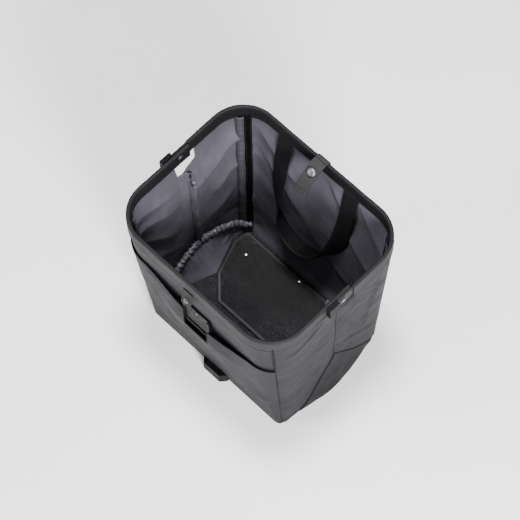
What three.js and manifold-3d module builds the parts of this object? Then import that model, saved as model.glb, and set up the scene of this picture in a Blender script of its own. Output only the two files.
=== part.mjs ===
// A folding handlebar basket, in millimetres.
// +X runs along the long side, -Y is the rear (the bicycle's side), +Y the front, +Z is up.
// The origin is on the ground plane, under the middle of the basket's outline in plan.
import * as THREE from 'three';
import { mergeVertices } from 'three/addons/utils/BufferGeometryUtils.js';
import Module from 'manifold-3d';

const wasm = await Module();
wasm.setup();

// ---- driving dimensions -------------------------------------------------------------------------
const GAP = 0.3; // between pieces that touch
const PLAN_SHIFT = 5.4; // the pocket stands out behind the rim, so the rim's own middle is at this y
const RIM_TOP = 362;
const BAR_AXIS_Z = 349; // the long bars turn about this height when the frame folds
const BAR_AXIS_Y = 140.3;
const FRONT_ARM_X = 171.8; // centre of the front bar's arms, which lap outside the rear bar's arms
const REAR_ARM_X = 166.8;
const BEND_RADIUS = 58.8; // of the bars' centre lines at the corners
const BAR_THICKNESS = 3;
const BAR_HEIGHT = 21;
const SLEEVE_THICKNESS = 6.4;
const SLEEVE_HEIGHT = 26;
const FRONT_LAP = 29; // how far the front arms run past the hinge pins
const REAR_LAP = 19;
const SLEEVE_START = 21; // the front sleeve stops short of the hinge
const PIN_RADIUS = 2.4;
const PIN_HOLE_RADIUS = 2.7;
const SLEEVE_HOLE_RADIUS = 7;

const WALL_TOP = 335.3;
const BASE_HALF_X = 146;
const BASE_HALF_Y = 108.5;
const BASE_RADIUS = 14;
const SHELL = 1.2; // outer fabric
const BOARD = 1.8; // stiffener inside the long walls
const LINING = 0.8;
const LINING_DEPTH_LONG = SHELL + BOARD + 2 * GAP;
const LINING_DEPTH_SIDE = SHELL + GAP;
const WALL_STACK = LINING_DEPTH_LONG + LINING;
const RIM_OUT = WALL_STACK / 2; // the wall hangs centred under the bar
const SIDE_BULGE = 13; // the soft short walls bow out at their feet
const BULGE_TOP = 0.5; // share of the wall's height where the bow has died out
const SEAM_ANGLE = 0.7; // degrees left free on each side of a corner seam

const FLOOR_PIVOT_Y = 103.5; // each floor half turns about the foot of its wall
const FLOOR_PIVOT_Z = 4.2;
const FLOOR_TILT = THREE.MathUtils.degToRad(13.3); // the unloaded floor keeps a low ridge at its crease
const FLOOR_HALF = 105; // length of a floor half, from its pivot to the crease
const BASE_FABRIC = [-4.2, -3]; // lower and upper face, measured from the pivot's level
const FLOOR_BOARD = [-2.7, -0.2];
const RIVETED_BOARD = [0.1, 2.6];
const LAP_LENGTH = 36; // of the riveted board past the crease

const POCKET_TOP = 280;
const POCKET_CENTRE_X = 4;
const POCKET_NOTCH_BOTTOM = 238;
const POCKET_GAPE = 18;
const PLATE_BOTTOM = 210;
const PLATE_TOP = 268;
const PLATE_WIDTH = 56;
const PLATE_LIP = 3; // the plate's thickness at its upper edge
const SCREW_SPACING = 34;
const SPACER_HEIGHT = 25;
const SPACER_DEPTH = 13.5;

const WEBBING = 2;
const HANDLE_WIDTH = 30;
const HANDLE_TOP = 333;
const STRAP_CENTRE_X = -3;
const STRAP_WIDTH = 24;
const STRAP_THICKNESS = 1.8;
const TAB_WIDTH = 20;

const COLOURS = {
  shell: 0x35353b,
  lining: 0x55555e,
  sleeve: 0x2b2b2e,
  steel: 0x3a3a3c,
  board: 0x17171a,
  webbing: 0x1b1b1d,
  plastic: 0x151517,
  bright: 0xb8b8ba,
  snap: 0x4a4b50,
};

// ---- helpers ------------------------------------------------------------------------------------
// Everything is modelled about the middle of the rim and moved into place as one group.
const basket = new THREE.Group();

function material(colour) {
  const metal = colour === 'bright' || colour === 'steel' || colour === 'snap';
  return new THREE.MeshStandardMaterial({
    color: COLOURS[colour],
    roughness: metal ? 0.35 : 0.8,
    metalness: metal ? 0.9 : 0,
  });
}

function piece(name, colour, geometry, parent = basket) {
  const mesh = new THREE.Mesh(geometry, material(colour));
  mesh.name = name;
  parent.add(mesh);
  return mesh;
}

function toSolid(geometry) {
  const bare = geometry.clone();
  bare.deleteAttribute('normal');
  bare.deleteAttribute('uv');
  const merged = mergeVertices(bare);
  return new wasm.Manifold(new wasm.Mesh({
    numProp: 3,
    vertProperties: new Float32Array(merged.attributes.position.array),
    triVerts: new Uint32Array(merged.index.array),
  }));
}

function fromSolid(solid) {
  const mesh = solid.getMesh();
  const geometry = new THREE.BufferGeometry();
  geometry.setAttribute('position', new THREE.BufferAttribute(mesh.vertProperties, 3));
  geometry.setIndex(new THREE.BufferAttribute(mesh.triVerts, 1));
  geometry.computeVertexNormals();
  return geometry;
}

function cut(geometry, ...tools) {
  let solid = toSolid(geometry);
  for (const tool of tools) solid = solid.subtract(toSolid(tool));
  return fromSolid(solid);
}

function join(geometry, ...others) {
  let solid = toSolid(geometry);
  for (const other of others) solid = solid.add(toSolid(other));
  return fromSolid(solid);
}

function box(x0, x1, y0, y1, z0, z1) {
  const geometry = new THREE.BoxGeometry(x1 - x0, y1 - y0, z1 - z0);
  return geometry.translate((x0 + x1) / 2, (y0 + y1) / 2, (z0 + z1) / 2);
}

function cylinderX(radius, x0, x1, y, z, segments = 24) {
  const geometry = new THREE.CylinderGeometry(radius, radius, x1 - x0, segments);
  return geometry.rotateZ(Math.PI / 2).translate((x0 + x1) / 2, y, z);
}

function cylinderY(radius, y0, y1, x, z, segments = 20) {
  const geometry = new THREE.CylinderGeometry(radius, radius, y1 - y0, segments);
  return geometry.translate(x, (y0 + y1) / 2, z);
}

// A turned piece: the profile is [radius, height] pairs, starting and ending on the axis or closed.
function turned(profile, segments = 24) {
  return new THREE.LatheGeometry(profile.map(([r, h]) => new THREE.Vector2(r, h)), segments);
}

function arc(cx, cy, radius, from, to, steps) {
  const points = [];
  for (let i = 0; i <= steps; i += 1) {
    const a = THREE.MathUtils.degToRad(from + ((to - from) * i) / steps);
    points.push(new THREE.Vector2(cx + radius * Math.cos(a), cy + radius * Math.sin(a)));
  }
  return points;
}

// A closed sheet between two grids of points, front[i][j] and back[i][j], with its rim stitched.
function sheet(front, back) {
  const rows = front.length;
  const cols = front[0].length;
  const positions = [];
  for (const grid of [front, back]) {
    for (const row of grid) for (const p of row) positions.push(p.x, p.y, p.z);
  }
  const at = (side, i, j) => (side * rows + i) * cols + j;
  const index = [];
  const quad = (a, b, c, d) => index.push(a, b, c, a, c, d);
  for (let i = 0; i < rows - 1; i += 1) {
    for (let j = 0; j < cols - 1; j += 1) {
      quad(at(0, i, j), at(0, i + 1, j), at(0, i + 1, j + 1), at(0, i, j + 1));
      quad(at(1, i, j), at(1, i, j + 1), at(1, i + 1, j + 1), at(1, i + 1, j));
    }
  }
  for (let i = 0; i < rows - 1; i += 1) {
    quad(at(0, i + 1, 0), at(0, i, 0), at(1, i, 0), at(1, i + 1, 0));
    quad(at(0, i, cols - 1), at(0, i + 1, cols - 1), at(1, i + 1, cols - 1), at(1, i, cols - 1));
  }
  for (let j = 0; j < cols - 1; j += 1) {
    quad(at(0, 0, j), at(0, 0, j + 1), at(1, 0, j + 1), at(1, 0, j));
    quad(at(0, rows - 1, j + 1), at(0, rows - 1, j), at(1, rows - 1, j), at(1, rows - 1, j + 1));
  }
  let geometry = new THREE.BufferGeometry();
  geometry.setAttribute('position', new THREE.Float32BufferAttribute(positions, 3));
  geometry.setIndex(index);
  if (volume(geometry) < 0) {
    for (let k = 0; k < index.length; k += 3) [index[k], index[k + 1]] = [index[k + 1], index[k]];
    geometry.setIndex(index);
  }
  geometry.computeVertexNormals();
  return geometry;
}

function volume(geometry) {
  const p = geometry.attributes.position;
  const index = geometry.index.array;
  const [a, b, c] = [new THREE.Vector3(), new THREE.Vector3(), new THREE.Vector3()];
  let sum = 0;
  for (let k = 0; k < index.length; k += 3) {
    a.fromBufferAttribute(p, index[k]);
    b.fromBufferAttribute(p, index[k + 1]);
    c.fromBufferAttribute(p, index[k + 2]);
    sum += a.dot(b.cross(c)) / 6;
  }
  return sum;
}

// ---- the folding frame --------------------------------------------------------------------------
// A U-shaped strip in plan: two arms, two bends and a long bar. side is +1 for the front, -1 the rear.
function uStrip(armX, side, armEnd, thickness, z0, height) {
  const h = thickness / 2;
  const cx = armX - BEND_RADIUS;
  const cy = BAR_AXIS_Y - BEND_RADIUS;
  const steps = 8;
  const outline = [
    new THREE.Vector2(armX + h, armEnd),
    ...arc(cx, cy, BEND_RADIUS + h, 0, 90, steps),
    ...arc(-cx, cy, BEND_RADIUS + h, 90, 180, steps),
    new THREE.Vector2(-armX - h, armEnd),
    new THREE.Vector2(-armX + h, armEnd),
    ...arc(-cx, cy, BEND_RADIUS - h, 180, 90, steps),
    ...arc(cx, cy, BEND_RADIUS - h, 90, 0, steps),
    new THREE.Vector2(armX - h, armEnd),
  ];
  for (const p of outline) p.y *= side;
  const shape = new THREE.Shape(outline);
  const geometry = new THREE.ExtrudeGeometry(shape, { depth: height, bevelEnabled: false });
  return geometry.translate(0, 0, z0);
}

const BAR_Z0 = BAR_AXIS_Z - BAR_HEIGHT / 2;
const SLEEVE_Z0 = RIM_TOP - SLEEVE_HEIGHT;
const SLOT = BAR_THICKNESS + 2 * GAP;
const SLEEVE_WALL_TOP = 1.6;

function frameBar(name, armX, side, lap) {
  const bar = uStrip(armX, side, -lap, BAR_THICKNESS, BAR_Z0, BAR_HEIGHT);
  const holes = [-1, 1].map((s) => {
    const x = s * armX;
    return cylinderX(PIN_HOLE_RADIUS, x - BAR_THICKNESS, x + BAR_THICKNESS, 0, BAR_AXIS_Z);
  });
  piece(name, 'steel', cut(bar, ...holes));
}

// The fabric sleeve is a channel over the bar, open along its underside where the wall is sewn in.
function frameSleeve(name, armX, side, armEnd, holes) {
  const outside = uStrip(armX, side, armEnd, SLEEVE_THICKNESS, SLEEVE_Z0, SLEEVE_HEIGHT);
  const slotHeight = SLEEVE_HEIGHT - SLEEVE_WALL_TOP + 1;
  const slot = uStrip(armX, side, armEnd - 1, SLOT, SLEEVE_Z0 - 1, slotHeight);
  const tools = holes.map((s) => {
    const x = s * armX;
    return cylinderX(SLEEVE_HOLE_RADIUS, x - SLEEVE_THICKNESS, x + SLEEVE_THICKNESS, 0, BAR_AXIS_Z);
  });
  piece(name, 'sleeve', cut(outside, slot, ...tools));
}

frameBar('rear_frame_bar', REAR_ARM_X, -1, REAR_LAP - 1);
frameBar('front_frame_bar', FRONT_ARM_X, 1, FRONT_LAP);
frameSleeve('rear_frame_sleeve', REAR_ARM_X, -1, -REAR_LAP, [-1, 1]);
frameSleeve('front_frame_sleeve', FRONT_ARM_X, 1, SLEEVE_START, []);

for (const [label, s] of [['left', -1], ['right', 1]]) {
  // The pin's heads close on the two arms, with a washer between them.
  const inner = REAR_ARM_X - BAR_THICKNESS / 2 - GAP;
  const outer = FRONT_ARM_X + BAR_THICKNESS / 2 + GAP;
  const pin = turned([
    [0, inner - 2.6],
    [3.4, inner - 2.4],
    [5, inner - 1.2],
    [5, inner],
    [PIN_RADIUS, inner],
    [PIN_RADIUS, outer],
    [4.6, outer],
    [4.6, outer + 0.8],
    [3, outer + 1.7],
    [0, outer + 1.8],
  ]);
  const pinMesh = piece(`hinge_pin_${label}`, 'snap', pin.rotateZ(-Math.PI / 2));
  pinMesh.position.z = BAR_AXIS_Z;
  pinMesh.rotation.z = s > 0 ? 0 : Math.PI;

  const washerInner = REAR_ARM_X + BAR_THICKNESS / 2 + GAP;
  const washerOuter = FRONT_ARM_X - BAR_THICKNESS / 2 - GAP;
  const washer = turned([
    [PIN_HOLE_RADIUS, washerInner],
    [6, washerInner],
    [6, washerOuter],
    [PIN_HOLE_RADIUS, washerOuter],
    [PIN_HOLE_RADIUS, washerInner],
  ]);
  const washerMesh = piece(`hinge_washer_${label}`, 'plastic', washer.rotateZ(-Math.PI / 2));
  washerMesh.position.z = BAR_AXIS_Z;
  washerMesh.rotation.z = s > 0 ? 0 : Math.PI;

  // A moulded cap closes the end of each front arm. It is open on its inner face, where the bar lies.
  const face = FRONT_ARM_X - BAR_THICKNESS / 2;
  const capStart = -FRONT_LAP - 1.8;
  const body = box(face, face + 7.2, capStart, -10, BAR_Z0 - 1.6, BAR_AXIS_Z + BAR_HEIGHT / 2 + 1.6);
  const socket = box(
    face - 1, face + BAR_THICKNESS + GAP,
    -FRONT_LAP - GAP, -9,
    BAR_Z0 - GAP, BAR_AXIS_Z + BAR_HEIGHT / 2 + GAP,
  );
  const cap = piece(`arm_end_cap_${label}`, 'plastic', cut(body, socket));
  if (s < 0) cap.geometry = cut(mirrorX(body), mirrorX(socket));
}

function mirrorX(geometry) {
  const mirrored = geometry.clone().scale(-1, 1, 1);
  const index = mirrored.index.array;
  for (let k = 0; k < index.length; k += 3) [index[k], index[k + 1]] = [index[k + 1], index[k]];
  return mirrored;
}

// ---- where the floor lies -----------------------------------------------------------------------
// A point of a floor half: s runs from its wall to the crease and n is the height above its board.
function floorPoint(half, x, s, n) {
  const run = s * Math.cos(FLOOR_TILT) - n * Math.sin(FLOOR_TILT);
  const rise = s * Math.sin(FLOOR_TILT) + n * Math.cos(FLOOR_TILT);
  return new THREE.Vector3(x, half * (FLOOR_PIVOT_Y - run), FLOOR_PIVOT_Z + rise);
}

// Where the two halves' faces at height n meet over the crease.
function creaseReach(n) {
  return (FLOOR_PIVOT_Y + n * Math.sin(FLOOR_TILT)) / Math.cos(FLOOR_TILT);
}

// Half outline of a floor half: distance from the wall and half width.
const FLOOR_OUTLINE = [[3, 126], [13, 137], [40, 138], [FLOOR_HALF, 108]];

// A point just outside the sloping end of a floor half.
function floorEdge(t, sideX, sideY) {
  const s = THREE.MathUtils.lerp(FLOOR_HALF - 1, 14, t);
  const k = s > 40 ? 2 : 1;
  const [s0, w0] = FLOOR_OUTLINE[k];
  const [s1, w1] = FLOOR_OUTLINE[k + 1];
  const halfWidth = THREE.MathUtils.lerp(w0, w1, (s - s0) / (s1 - s0));
  return floorPoint(sideY, sideX * (halfWidth + 0.6), s, FLOOR_BOARD[1]);
}

// ---- the walls ----------------------------------------------------------------------------------
const RIM_HALF_Y = BAR_AXIS_Y + RIM_OUT;
const RIM_RADIUS = BEND_RADIUS + RIM_OUT;
const LEAN = Math.atan((RIM_HALF_Y - BASE_HALF_Y) / WALL_TOP);
const RIM_STRAIGHT_Y = RIM_HALF_Y - RIM_RADIUS;
const BASE_STRAIGHT_Y = BASE_HALF_Y - BASE_RADIUS;

// The rim's and the base's outlines share one description, so that a wall is ruled between them.
function rimSize(armX) {
  return { halfX: armX + RIM_OUT, halfY: RIM_HALF_Y, radius: RIM_RADIUS };
}
const BASE_SIZE = { halfX: BASE_HALF_X, halfY: BASE_HALF_Y, radius: BASE_RADIUS };

function station(x, y, nx, ny) {
  return { point: new THREE.Vector2(x, y), normal: new THREE.Vector2(nx, ny) };
}

function arcStations(cx, cy, radius, from, to, steps) {
  return arc(0, 0, 1, from, to, steps).map((n) => station(cx + radius * n.x, cy + radius * n.y, n.x, n.y));
}

// Half bend, long straight, half bend. shares are the straight's stations, from -1 to 1.
function longOutline(size, shares, side) {
  const cx = size.halfX - size.radius;
  const cy = size.halfY - size.radius;
  const right = arcStations(cx, cy, size.radius, 45 + SEAM_ANGLE, 90, 4);
  const left = arcStations(-cx, cy, size.radius, 90, 135 - SEAM_ANGLE, 4);
  const middle = shares.map((share) => station(-share * cx, size.halfY, 0, 1));
  const all = [...right, ...middle, ...left];
  for (const s of all) {
    s.point.y *= side;
    s.normal.y *= side;
  }
  return all;
}

// Half of a short wall, from its centre line to the corner seam. shares run from 0 to 1.
function sideOutline(size, centreX, shares, sideX, sideY) {
  const cx = size.halfX - size.radius;
  const cy = size.halfY - size.radius;
  const straight = shares.map((share) => {
    const y = Math.max(share * cy, GAP / 2);
    return station(centreX + (size.halfX - centreX) * share, y, 1, 0);
  });
  const bend = arcStations(cx, cy, size.radius, 0, 45 - SEAM_ANGLE, 4).slice(1);
  const all = [...straight, ...bend];
  for (const s of all) {
    s.point.x *= sideX;
    s.normal.x *= sideX;
    s.point.y *= sideY;
    s.normal.y *= sideY;
  }
  return all;
}

function sideBulge(y, share) {
  const across = Math.cos((Math.PI / 2) * Math.min(1, Math.abs(y) / BASE_HALF_Y)) ** 2;
  const up = Math.max(0, 1 - share / BULGE_TOP) ** 2;
  return SIDE_BULGE * across * up;
}

// A layer of a wall between depth and depth + thickness behind the wall's outer face.
function wallLayer(rim, base, options) {
  const { depth, thickness, tops, bottom = 0, rows = [0, 1], offset = () => 0 } = options;
  const grids = [depth, depth + thickness].map((d) => rim.map((top, i) => rows.map((row) => {
    const z = bottom + (tops[i] - bottom) * row;
    const share = z / WALL_TOP;
    const p = base[i].point.clone().lerp(top.point, share);
    const n = base[i].normal.clone().lerp(top.normal, share).normalize();
    const out = offset(p.x, p.y, share, z) - d;
    return new THREE.Vector3(p.x + n.x * out, p.y + n.y * out, z);
  })));
  return sheet(grids[0], grids[1]);
}

const LONG_SHARES = [-0.5, 0, 0.5];
const SEAM_DROPS = [7, 5]; // a long wall's top falls away at its seams, where the bar swings past

// The rear wall's own axes: z runs up its outer face, -y points away from it.
const rearFace = new THREE.Group();
rearFace.position.set(0, -BASE_HALF_Y, 0);
rearFace.rotation.x = LEAN;
basket.add(rearFace);
rearFace.updateMatrixWorld(true);

const frontFace = new THREE.Group();
frontFace.position.set(0, BASE_HALF_Y, 0);
frontFace.rotation.x = -LEAN;
basket.add(frontFace);
frontFace.updateMatrixWorld(true);

const PLATE_MIDDLE = (PLATE_BOTTOM + PLATE_TOP) / 2;
const SCREW_HEIGHTS = { lower: PLATE_MIDDLE - SCREW_SPACING / 2, upper: PLATE_MIDDLE + SCREW_SPACING / 2 };
const screwHoles = Object.values(SCREW_HEIGHTS).map((z) => cylinderY(2.5, -14, 3.45, POCKET_CENTRE_X, z));
const screwHolesInWall = screwHoles.map((hole) => hole.clone().applyMatrix4(rearFace.matrixWorld));

for (const [label, side, armX] of [['rear', -1, REAR_ARM_X], ['front', 1, FRONT_ARM_X]]) {
  const rim = longOutline(rimSize(armX), LONG_SHARES, side);
  const base = longOutline(BASE_SIZE, LONG_SHARES, side);
  const tops = rim.map((_, i) => WALL_TOP - (SEAM_DROPS[Math.min(i, rim.length - 1 - i)] ?? 0));
  const shell = wallLayer(rim, base, { depth: 0, thickness: SHELL, tops });
  const lining = wallLayer(rim, base, { depth: LINING_DEPTH_LONG, thickness: LINING, tops, bottom: 1.5 });
  // The stiffener covers only the flat middle of the wall.
  const flat = (size) => longOutline(size, LONG_SHARES, side).slice(4, -4);
  const boardRim = flat(rimSize(armX));
  const boardBase = flat(BASE_SIZE);
  const board = wallLayer(boardRim, boardBase, {
    depth: SHELL + GAP,
    thickness: BOARD,
    tops: boardRim.map(() => WALL_TOP - 4),
    bottom: 2,
  });
  const drill = (geometry) => (side < 0 ? cut(geometry, ...screwHolesInWall) : geometry);
  piece(`${label}_wall_shell`, 'shell', drill(shell));
  piece(`${label}_wall_board`, 'board', drill(board));
  piece(`${label}_wall_lining`, 'lining', lining);
}

// Each short wall is two halves that meet at a centre fold. At the top they are cut away round the hinge.
const HINGE_CUT = {
  front: { shares: [0, 0.2, 0.4, 0.425, 0.7, 1], depths: [36, 33, 27, 0, 0, 0] },
  rear: { shares: [0, 0.14, 0.165, 0.42, 0.7, 1], depths: [36, 34, 0, 0, 0, 0] },
};
const SIDE_ROWS = [0, 0.05, 0.12, 0.22, 0.34, 0.5, 0.75, 1];
const CENTRE_X = (FRONT_ARM_X + REAR_ARM_X) / 2 + RIM_OUT;

for (const [sideLabel, sideX] of [['left', -1], ['right', 1]]) {
  for (const [endLabel, sideY, armX] of [['rear', -1, REAR_ARM_X], ['front', 1, FRONT_ARM_X]]) {
    const hinge = HINGE_CUT[endLabel];
    const rim = sideOutline(rimSize(armX), CENTRE_X, hinge.shares, sideX, sideY);
    const base = sideOutline(BASE_SIZE, BASE_HALF_X, hinge.shares, sideX, sideY);
    const tops = rim.map((_, i) => WALL_TOP - (hinge.depths[i] ?? 0));
    const offset = (x, y, share) => sideBulge(y, share);
    const label = `${sideLabel}_${endLabel}`;
    piece(`${label}_side_shell`, 'shell', wallLayer(rim, base, {
      depth: 0, thickness: SHELL, tops, rows: SIDE_ROWS, offset,
    }));
    piece(`${label}_side_lining`, 'lining', wallLayer(rim, base, {
      depth: LINING_DEPTH_SIDE, thickness: LINING, tops, bottom: 1.5, rows: SIDE_ROWS, offset,
    }));

    // A strip of binding covers the corner seam inside.
    const seamAt = (size, z) => {
      const cx = size.halfX - size.radius;
      const cy = size.halfY - size.radius;
      const r = size.radius * Math.SQRT1_2;
      return new THREE.Vector3(sideX * (cx + r), sideY * (cy + r), z);
    };
    const top = seamAt(rimSize(armX), WALL_TOP - 1);
    const foot = seamAt(BASE_SIZE, 0).lerp(top, 0.045);
    const inward = new THREE.Vector3(-sideX, -sideY, 0).normalize();
    const along = new THREE.Vector3(sideX, -sideY, 0).normalize();
    const corners = (depth) => [-4.5, 4.5].map((w) => [foot, top].map((p) => (
      p.clone().addScaledVector(inward, depth).addScaledVector(along, w)
    )));
    piece(`${label}_corner_binding`, 'lining', sheet(corners(6.2), corners(7)));

    // A gathered elastic channel arches over the foot of the short wall, and a gusset of lining falls
    // from it to the sloping end of the floor board.
    const steps = 7;
    const channel = [];
    const gussetTop = [];
    const gussetFoot = [];
    for (let i = 0; i <= steps; i += 1) {
      const t = i / steps;
      const y = THREE.MathUtils.lerp(2, 92, t);
      const z = THREE.MathUtils.lerp(76, 30, t ** 1.6);
      const share = z / WALL_TOP;
      const wallX = THREE.MathUtils.lerp(BASE_HALF_X, CENTRE_X, share) + sideBulge(y, share);
      const x = wallX - LINING_DEPTH_SIDE - LINING;
      const pinch = t > 0.9 ? 4 : 0;
      channel.push(new THREE.Vector3(sideX * (x - 4.4 - pinch), sideY * y, z));
      gussetTop.push(new THREE.Vector3(sideX * (x - 7 - pinch), sideY * (y - 1), z - 6));
      gussetFoot.push(floorEdge(t, sideX, sideY));
    }
    const path = new THREE.CatmullRomCurve3(channel);
    const section = new THREE.Shape(arc(0, 0, 3.6, 0, 315, 7));
    const tube = new THREE.ExtrudeGeometry(section, { steps: 14, bevelEnabled: false, extrudePath: path });
    piece(`${label}_elastic_channel`, 'lining', tube);
    const gusset = gussetTop.map((p, i) => [p, gussetFoot[i]]);
    const upAndIn = new THREE.Vector3(-sideX, 0, 1).multiplyScalar(LINING * Math.SQRT1_2);
    const gussetInside = gusset.map((row) => row.map((p) => p.clone().add(upAndIn)));
    piece(`${label}_floor_gusset`, 'lining', sheet(gusset, gussetInside));
  }
}

// ---- the floor ----------------------------------------------------------------------------------
// A sheet of one floor half between two heights, following an outline of [s, half width] pairs.
function floorSlab(half, outline, [n0, n1]) {
  const grid = (n) => outline.map(([s, w]) => [-w, w].map((x) => floorPoint(half, x, s, n)));
  return sheet(grid(n1), grid(n0));
}

const RIVETS = { left: [-99, 45], middle: [-5, 17], right: [99, 45] }; // x and distance from the wall

function alongFloorNormal(geometry, half, x, s) {
  const at = floorPoint(half, x, s, 0);
  return geometry.rotateX(Math.PI / 2 - half * FLOOR_TILT).translate(at.x, at.y, at.z);
}

const rivetHoles = Object.values(RIVETS).map(([x, s]) => (
  alongFloorNormal(new THREE.CylinderGeometry(1.9, 1.9, 14, 16), 1, x, s)
));

for (const [label, half] of [['rear', -1], ['front', 1]]) {
  const drill = (geometry) => (half > 0 ? cut(geometry, ...rivetHoles) : geometry);
  piece(`${label}_floor_board`, 'board', drill(floorSlab(half, FLOOR_OUTLINE, FLOOR_BOARD)));
  piece(`${label}_base_fabric`, 'shell', drill(floorSlab(half, FLOOR_OUTLINE, BASE_FABRIC)));
}

// The riveted board lies on the front half and bends over the crease onto the rear half.
const rivetedGrid = (n) => [
  [1, 10, 126],
  [1, 16, 131],
  [1, 40, 132],
  [1, creaseReach(n), 105],
  [-1, creaseReach(n) - LAP_LENGTH, 71],
].map(([half, s, w]) => [-w, w].map((x) => floorPoint(half, x, s, n)));
const rivetedBoard = sheet(rivetedGrid(RIVETED_BOARD[1]), rivetedGrid(RIVETED_BOARD[0]));
piece('riveted_board', 'board', cut(rivetedBoard, ...rivetHoles));

for (const [label, [x, s]] of Object.entries(RIVETS)) {
  const head = RIVETED_BOARD[1] + GAP;
  const foot = BASE_FABRIC[0] - GAP;
  const rivet = turned([
    [0, foot - 0.9],
    [3, foot - 0.9],
    [3, foot],
    [1.6, foot],
    [1.6, head],
    [3.6, head],
    [3.2, head + 0.9],
    [1.8, head + 1.5],
    [0, head + 1.6],
  ], 16);
  piece(`floor_rivet_${label}`, 'bright', alongFloorNormal(rivet, 1, x, s));
}

// ---- the rear pocket and the handlebar mounting -------------------------------------------------
// A piece of constant section: the points are [y, z] pairs.
function prismX(points, x0, x1) {
  const shape = new THREE.Shape(points.map(([y, z]) => new THREE.Vector2(y, z)));
  const geometry = new THREE.ExtrudeGeometry(shape, { depth: x1 - x0, bevelEnabled: false });
  const axes = new THREE.Matrix4().makeBasis(
    new THREE.Vector3(0, 1, 0),
    new THREE.Vector3(0, 0, 1),
    new THREE.Vector3(1, 0, 0),
  );
  return geometry.applyMatrix4(axes).translate(x0, 0, 0);
}

// y of a face lying a little way outside the rear wall.
function rearFaceY(z, off) {
  return -(BASE_HALF_Y + z * Math.tan(LEAN)) - off / Math.cos(LEAN);
}

function pocketGape(x, z) {
  const beyond = Math.max(0, Math.abs(x - POCKET_CENTRE_X) - 36) / 84;
  const across = Math.cos((Math.PI / 2) * Math.min(1, beyond)) ** 2;
  return POCKET_GAPE * across * (z / POCKET_TOP) ** 1.5;
}

{
  const shares = [-0.75, -0.5, -0.35, -0.32, 0, 0.25, 0.28, 0.5, 0.75];
  const notch = new Set([-0.32, 0, 0.25]);
  const rim = longOutline(rimSize(REAR_ARM_X), shares, -1);
  const base = longOutline(BASE_SIZE, shares, -1);
  const isNotch = (i) => notch.has(shares[i - 5]); // five stations of the bend come first
  const tops = rim.map((_, i) => (isNotch(i) ? POCKET_NOTCH_BOTTOM : POCKET_TOP));
  piece('rear_pocket_panel', 'shell', wallLayer(rim, base, {
    depth: -SHELL - GAP,
    thickness: SHELL,
    tops,
    rows: [0, 0.25, 0.5, 0.75, 0.9, 1],
    offset: (x, y, share, z) => pocketGape(x, z),
  }));
}

{
  const outerY = rearFaceY(PLATE_TOP, GAP + PLATE_LIP);
  const half = PLATE_WIDTH / 2;
  const centre = POCKET_CENTRE_X;
  const wedge = prismX([
    [rearFaceY(PLATE_BOTTOM, GAP), PLATE_BOTTOM],
    [outerY, PLATE_BOTTOM],
    [outerY, PLATE_TOP],
    [rearFaceY(PLATE_TOP, GAP), PLATE_TOP],
  ], centre - half, centre + half);
  const rail = (x0, x1) => box(x0, x1, outerY - 1.8, outerY + 0.5, PLATE_BOTTOM + 6, PLATE_TOP - 4);
  const leftRail = rail(centre - half, centre - half + 5);
  const rightRail = rail(centre + half - 5, centre + half);
  const stop = box(centre - half, centre + half, outerY - 1.8, outerY + 0.5, PLATE_BOTTOM, PLATE_BOTTOM + 6);
  const counterbores = [];
  for (const [label, z] of Object.entries(SCREW_HEIGHTS)) {
    const face = GAP + PLATE_LIP + (PLATE_TOP - z) * Math.tan(LEAN);
    const seat = face - 2;
    counterbores.push(cylinderY(4, -14, -seat, centre, z).applyMatrix4(rearFace.matrixWorld));
    const screw = turned([
      [0, -3.2],
      [2.1, -3.2],
      [2.1, seat + GAP],
      [3.6, seat + GAP],
      [3.6, seat + GAP + 0.7],
      [2.4, seat + GAP + 1.3],
      [0, seat + GAP + 1.3],
    ], 16);
    const mesh = piece(`plate_screw_${label}`, 'bright', screw, rearFace);
    mesh.position.set(centre, 0, z);
    mesh.rotation.x = Math.PI;
  }
  const plate = join(wedge, leftRail, rightRail, stop);
  piece('handlebar_plate', 'plastic', cut(plate, ...screwHolesInWall, ...counterbores));
}

// A block at the foot of the rear wall keeps the basket clear of the bicycle's head tube.
{
  const centre = POCKET_CENTRE_X + 2;
  const back = rearFaceY(0, 2.6);
  const outer = back - SPACER_DEPTH;
  const plan = new THREE.Shape([
    new THREE.Vector2(centre - 25.5, back + 6),
    new THREE.Vector2(centre - 25.5, back - 4),
    new THREE.Vector2(centre - 17, outer),
    new THREE.Vector2(centre + 17, outer),
    new THREE.Vector2(centre + 25.5, back - 4),
    new THREE.Vector2(centre + 25.5, back + 6),
  ]);
  const block = new THREE.ExtrudeGeometry(plan, { depth: SPACER_HEIGHT - 1, bevelEnabled: false });
  block.translate(0, 0, 1);
  const behind = prismX([
    [rearFaceY(-5, 2.6), -5],
    [rearFaceY(40, 2.6), 40],
    [back + 20, 40],
    [back + 20, -5],
  ], centre - 30, centre + 30);
  piece('lower_spacer', 'plastic', cut(block, behind));
}

// ---- straps and handles -------------------------------------------------------------------------
// A flat strap whose middle line is a list of [y, z] points, between x0 and x1.
function strapSheet(path, thickness, x0, x1) {
  const faces = [thickness / 2, -thickness / 2].map((off) => path.map(([y, z], i) => {
    const [ya, za] = path[Math.max(0, i - 1)];
    const [yb, zb] = path[Math.min(path.length - 1, i + 1)];
    const length = Math.hypot(yb - ya, zb - za);
    const ny = -(zb - za) / length;
    const nz = (yb - ya) / length;
    return [x0, x1].map((x) => new THREE.Vector3(x, y + ny * off, z + nz * off));
  }));
  return sheet(faces[0], faces[1]);
}

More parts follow.
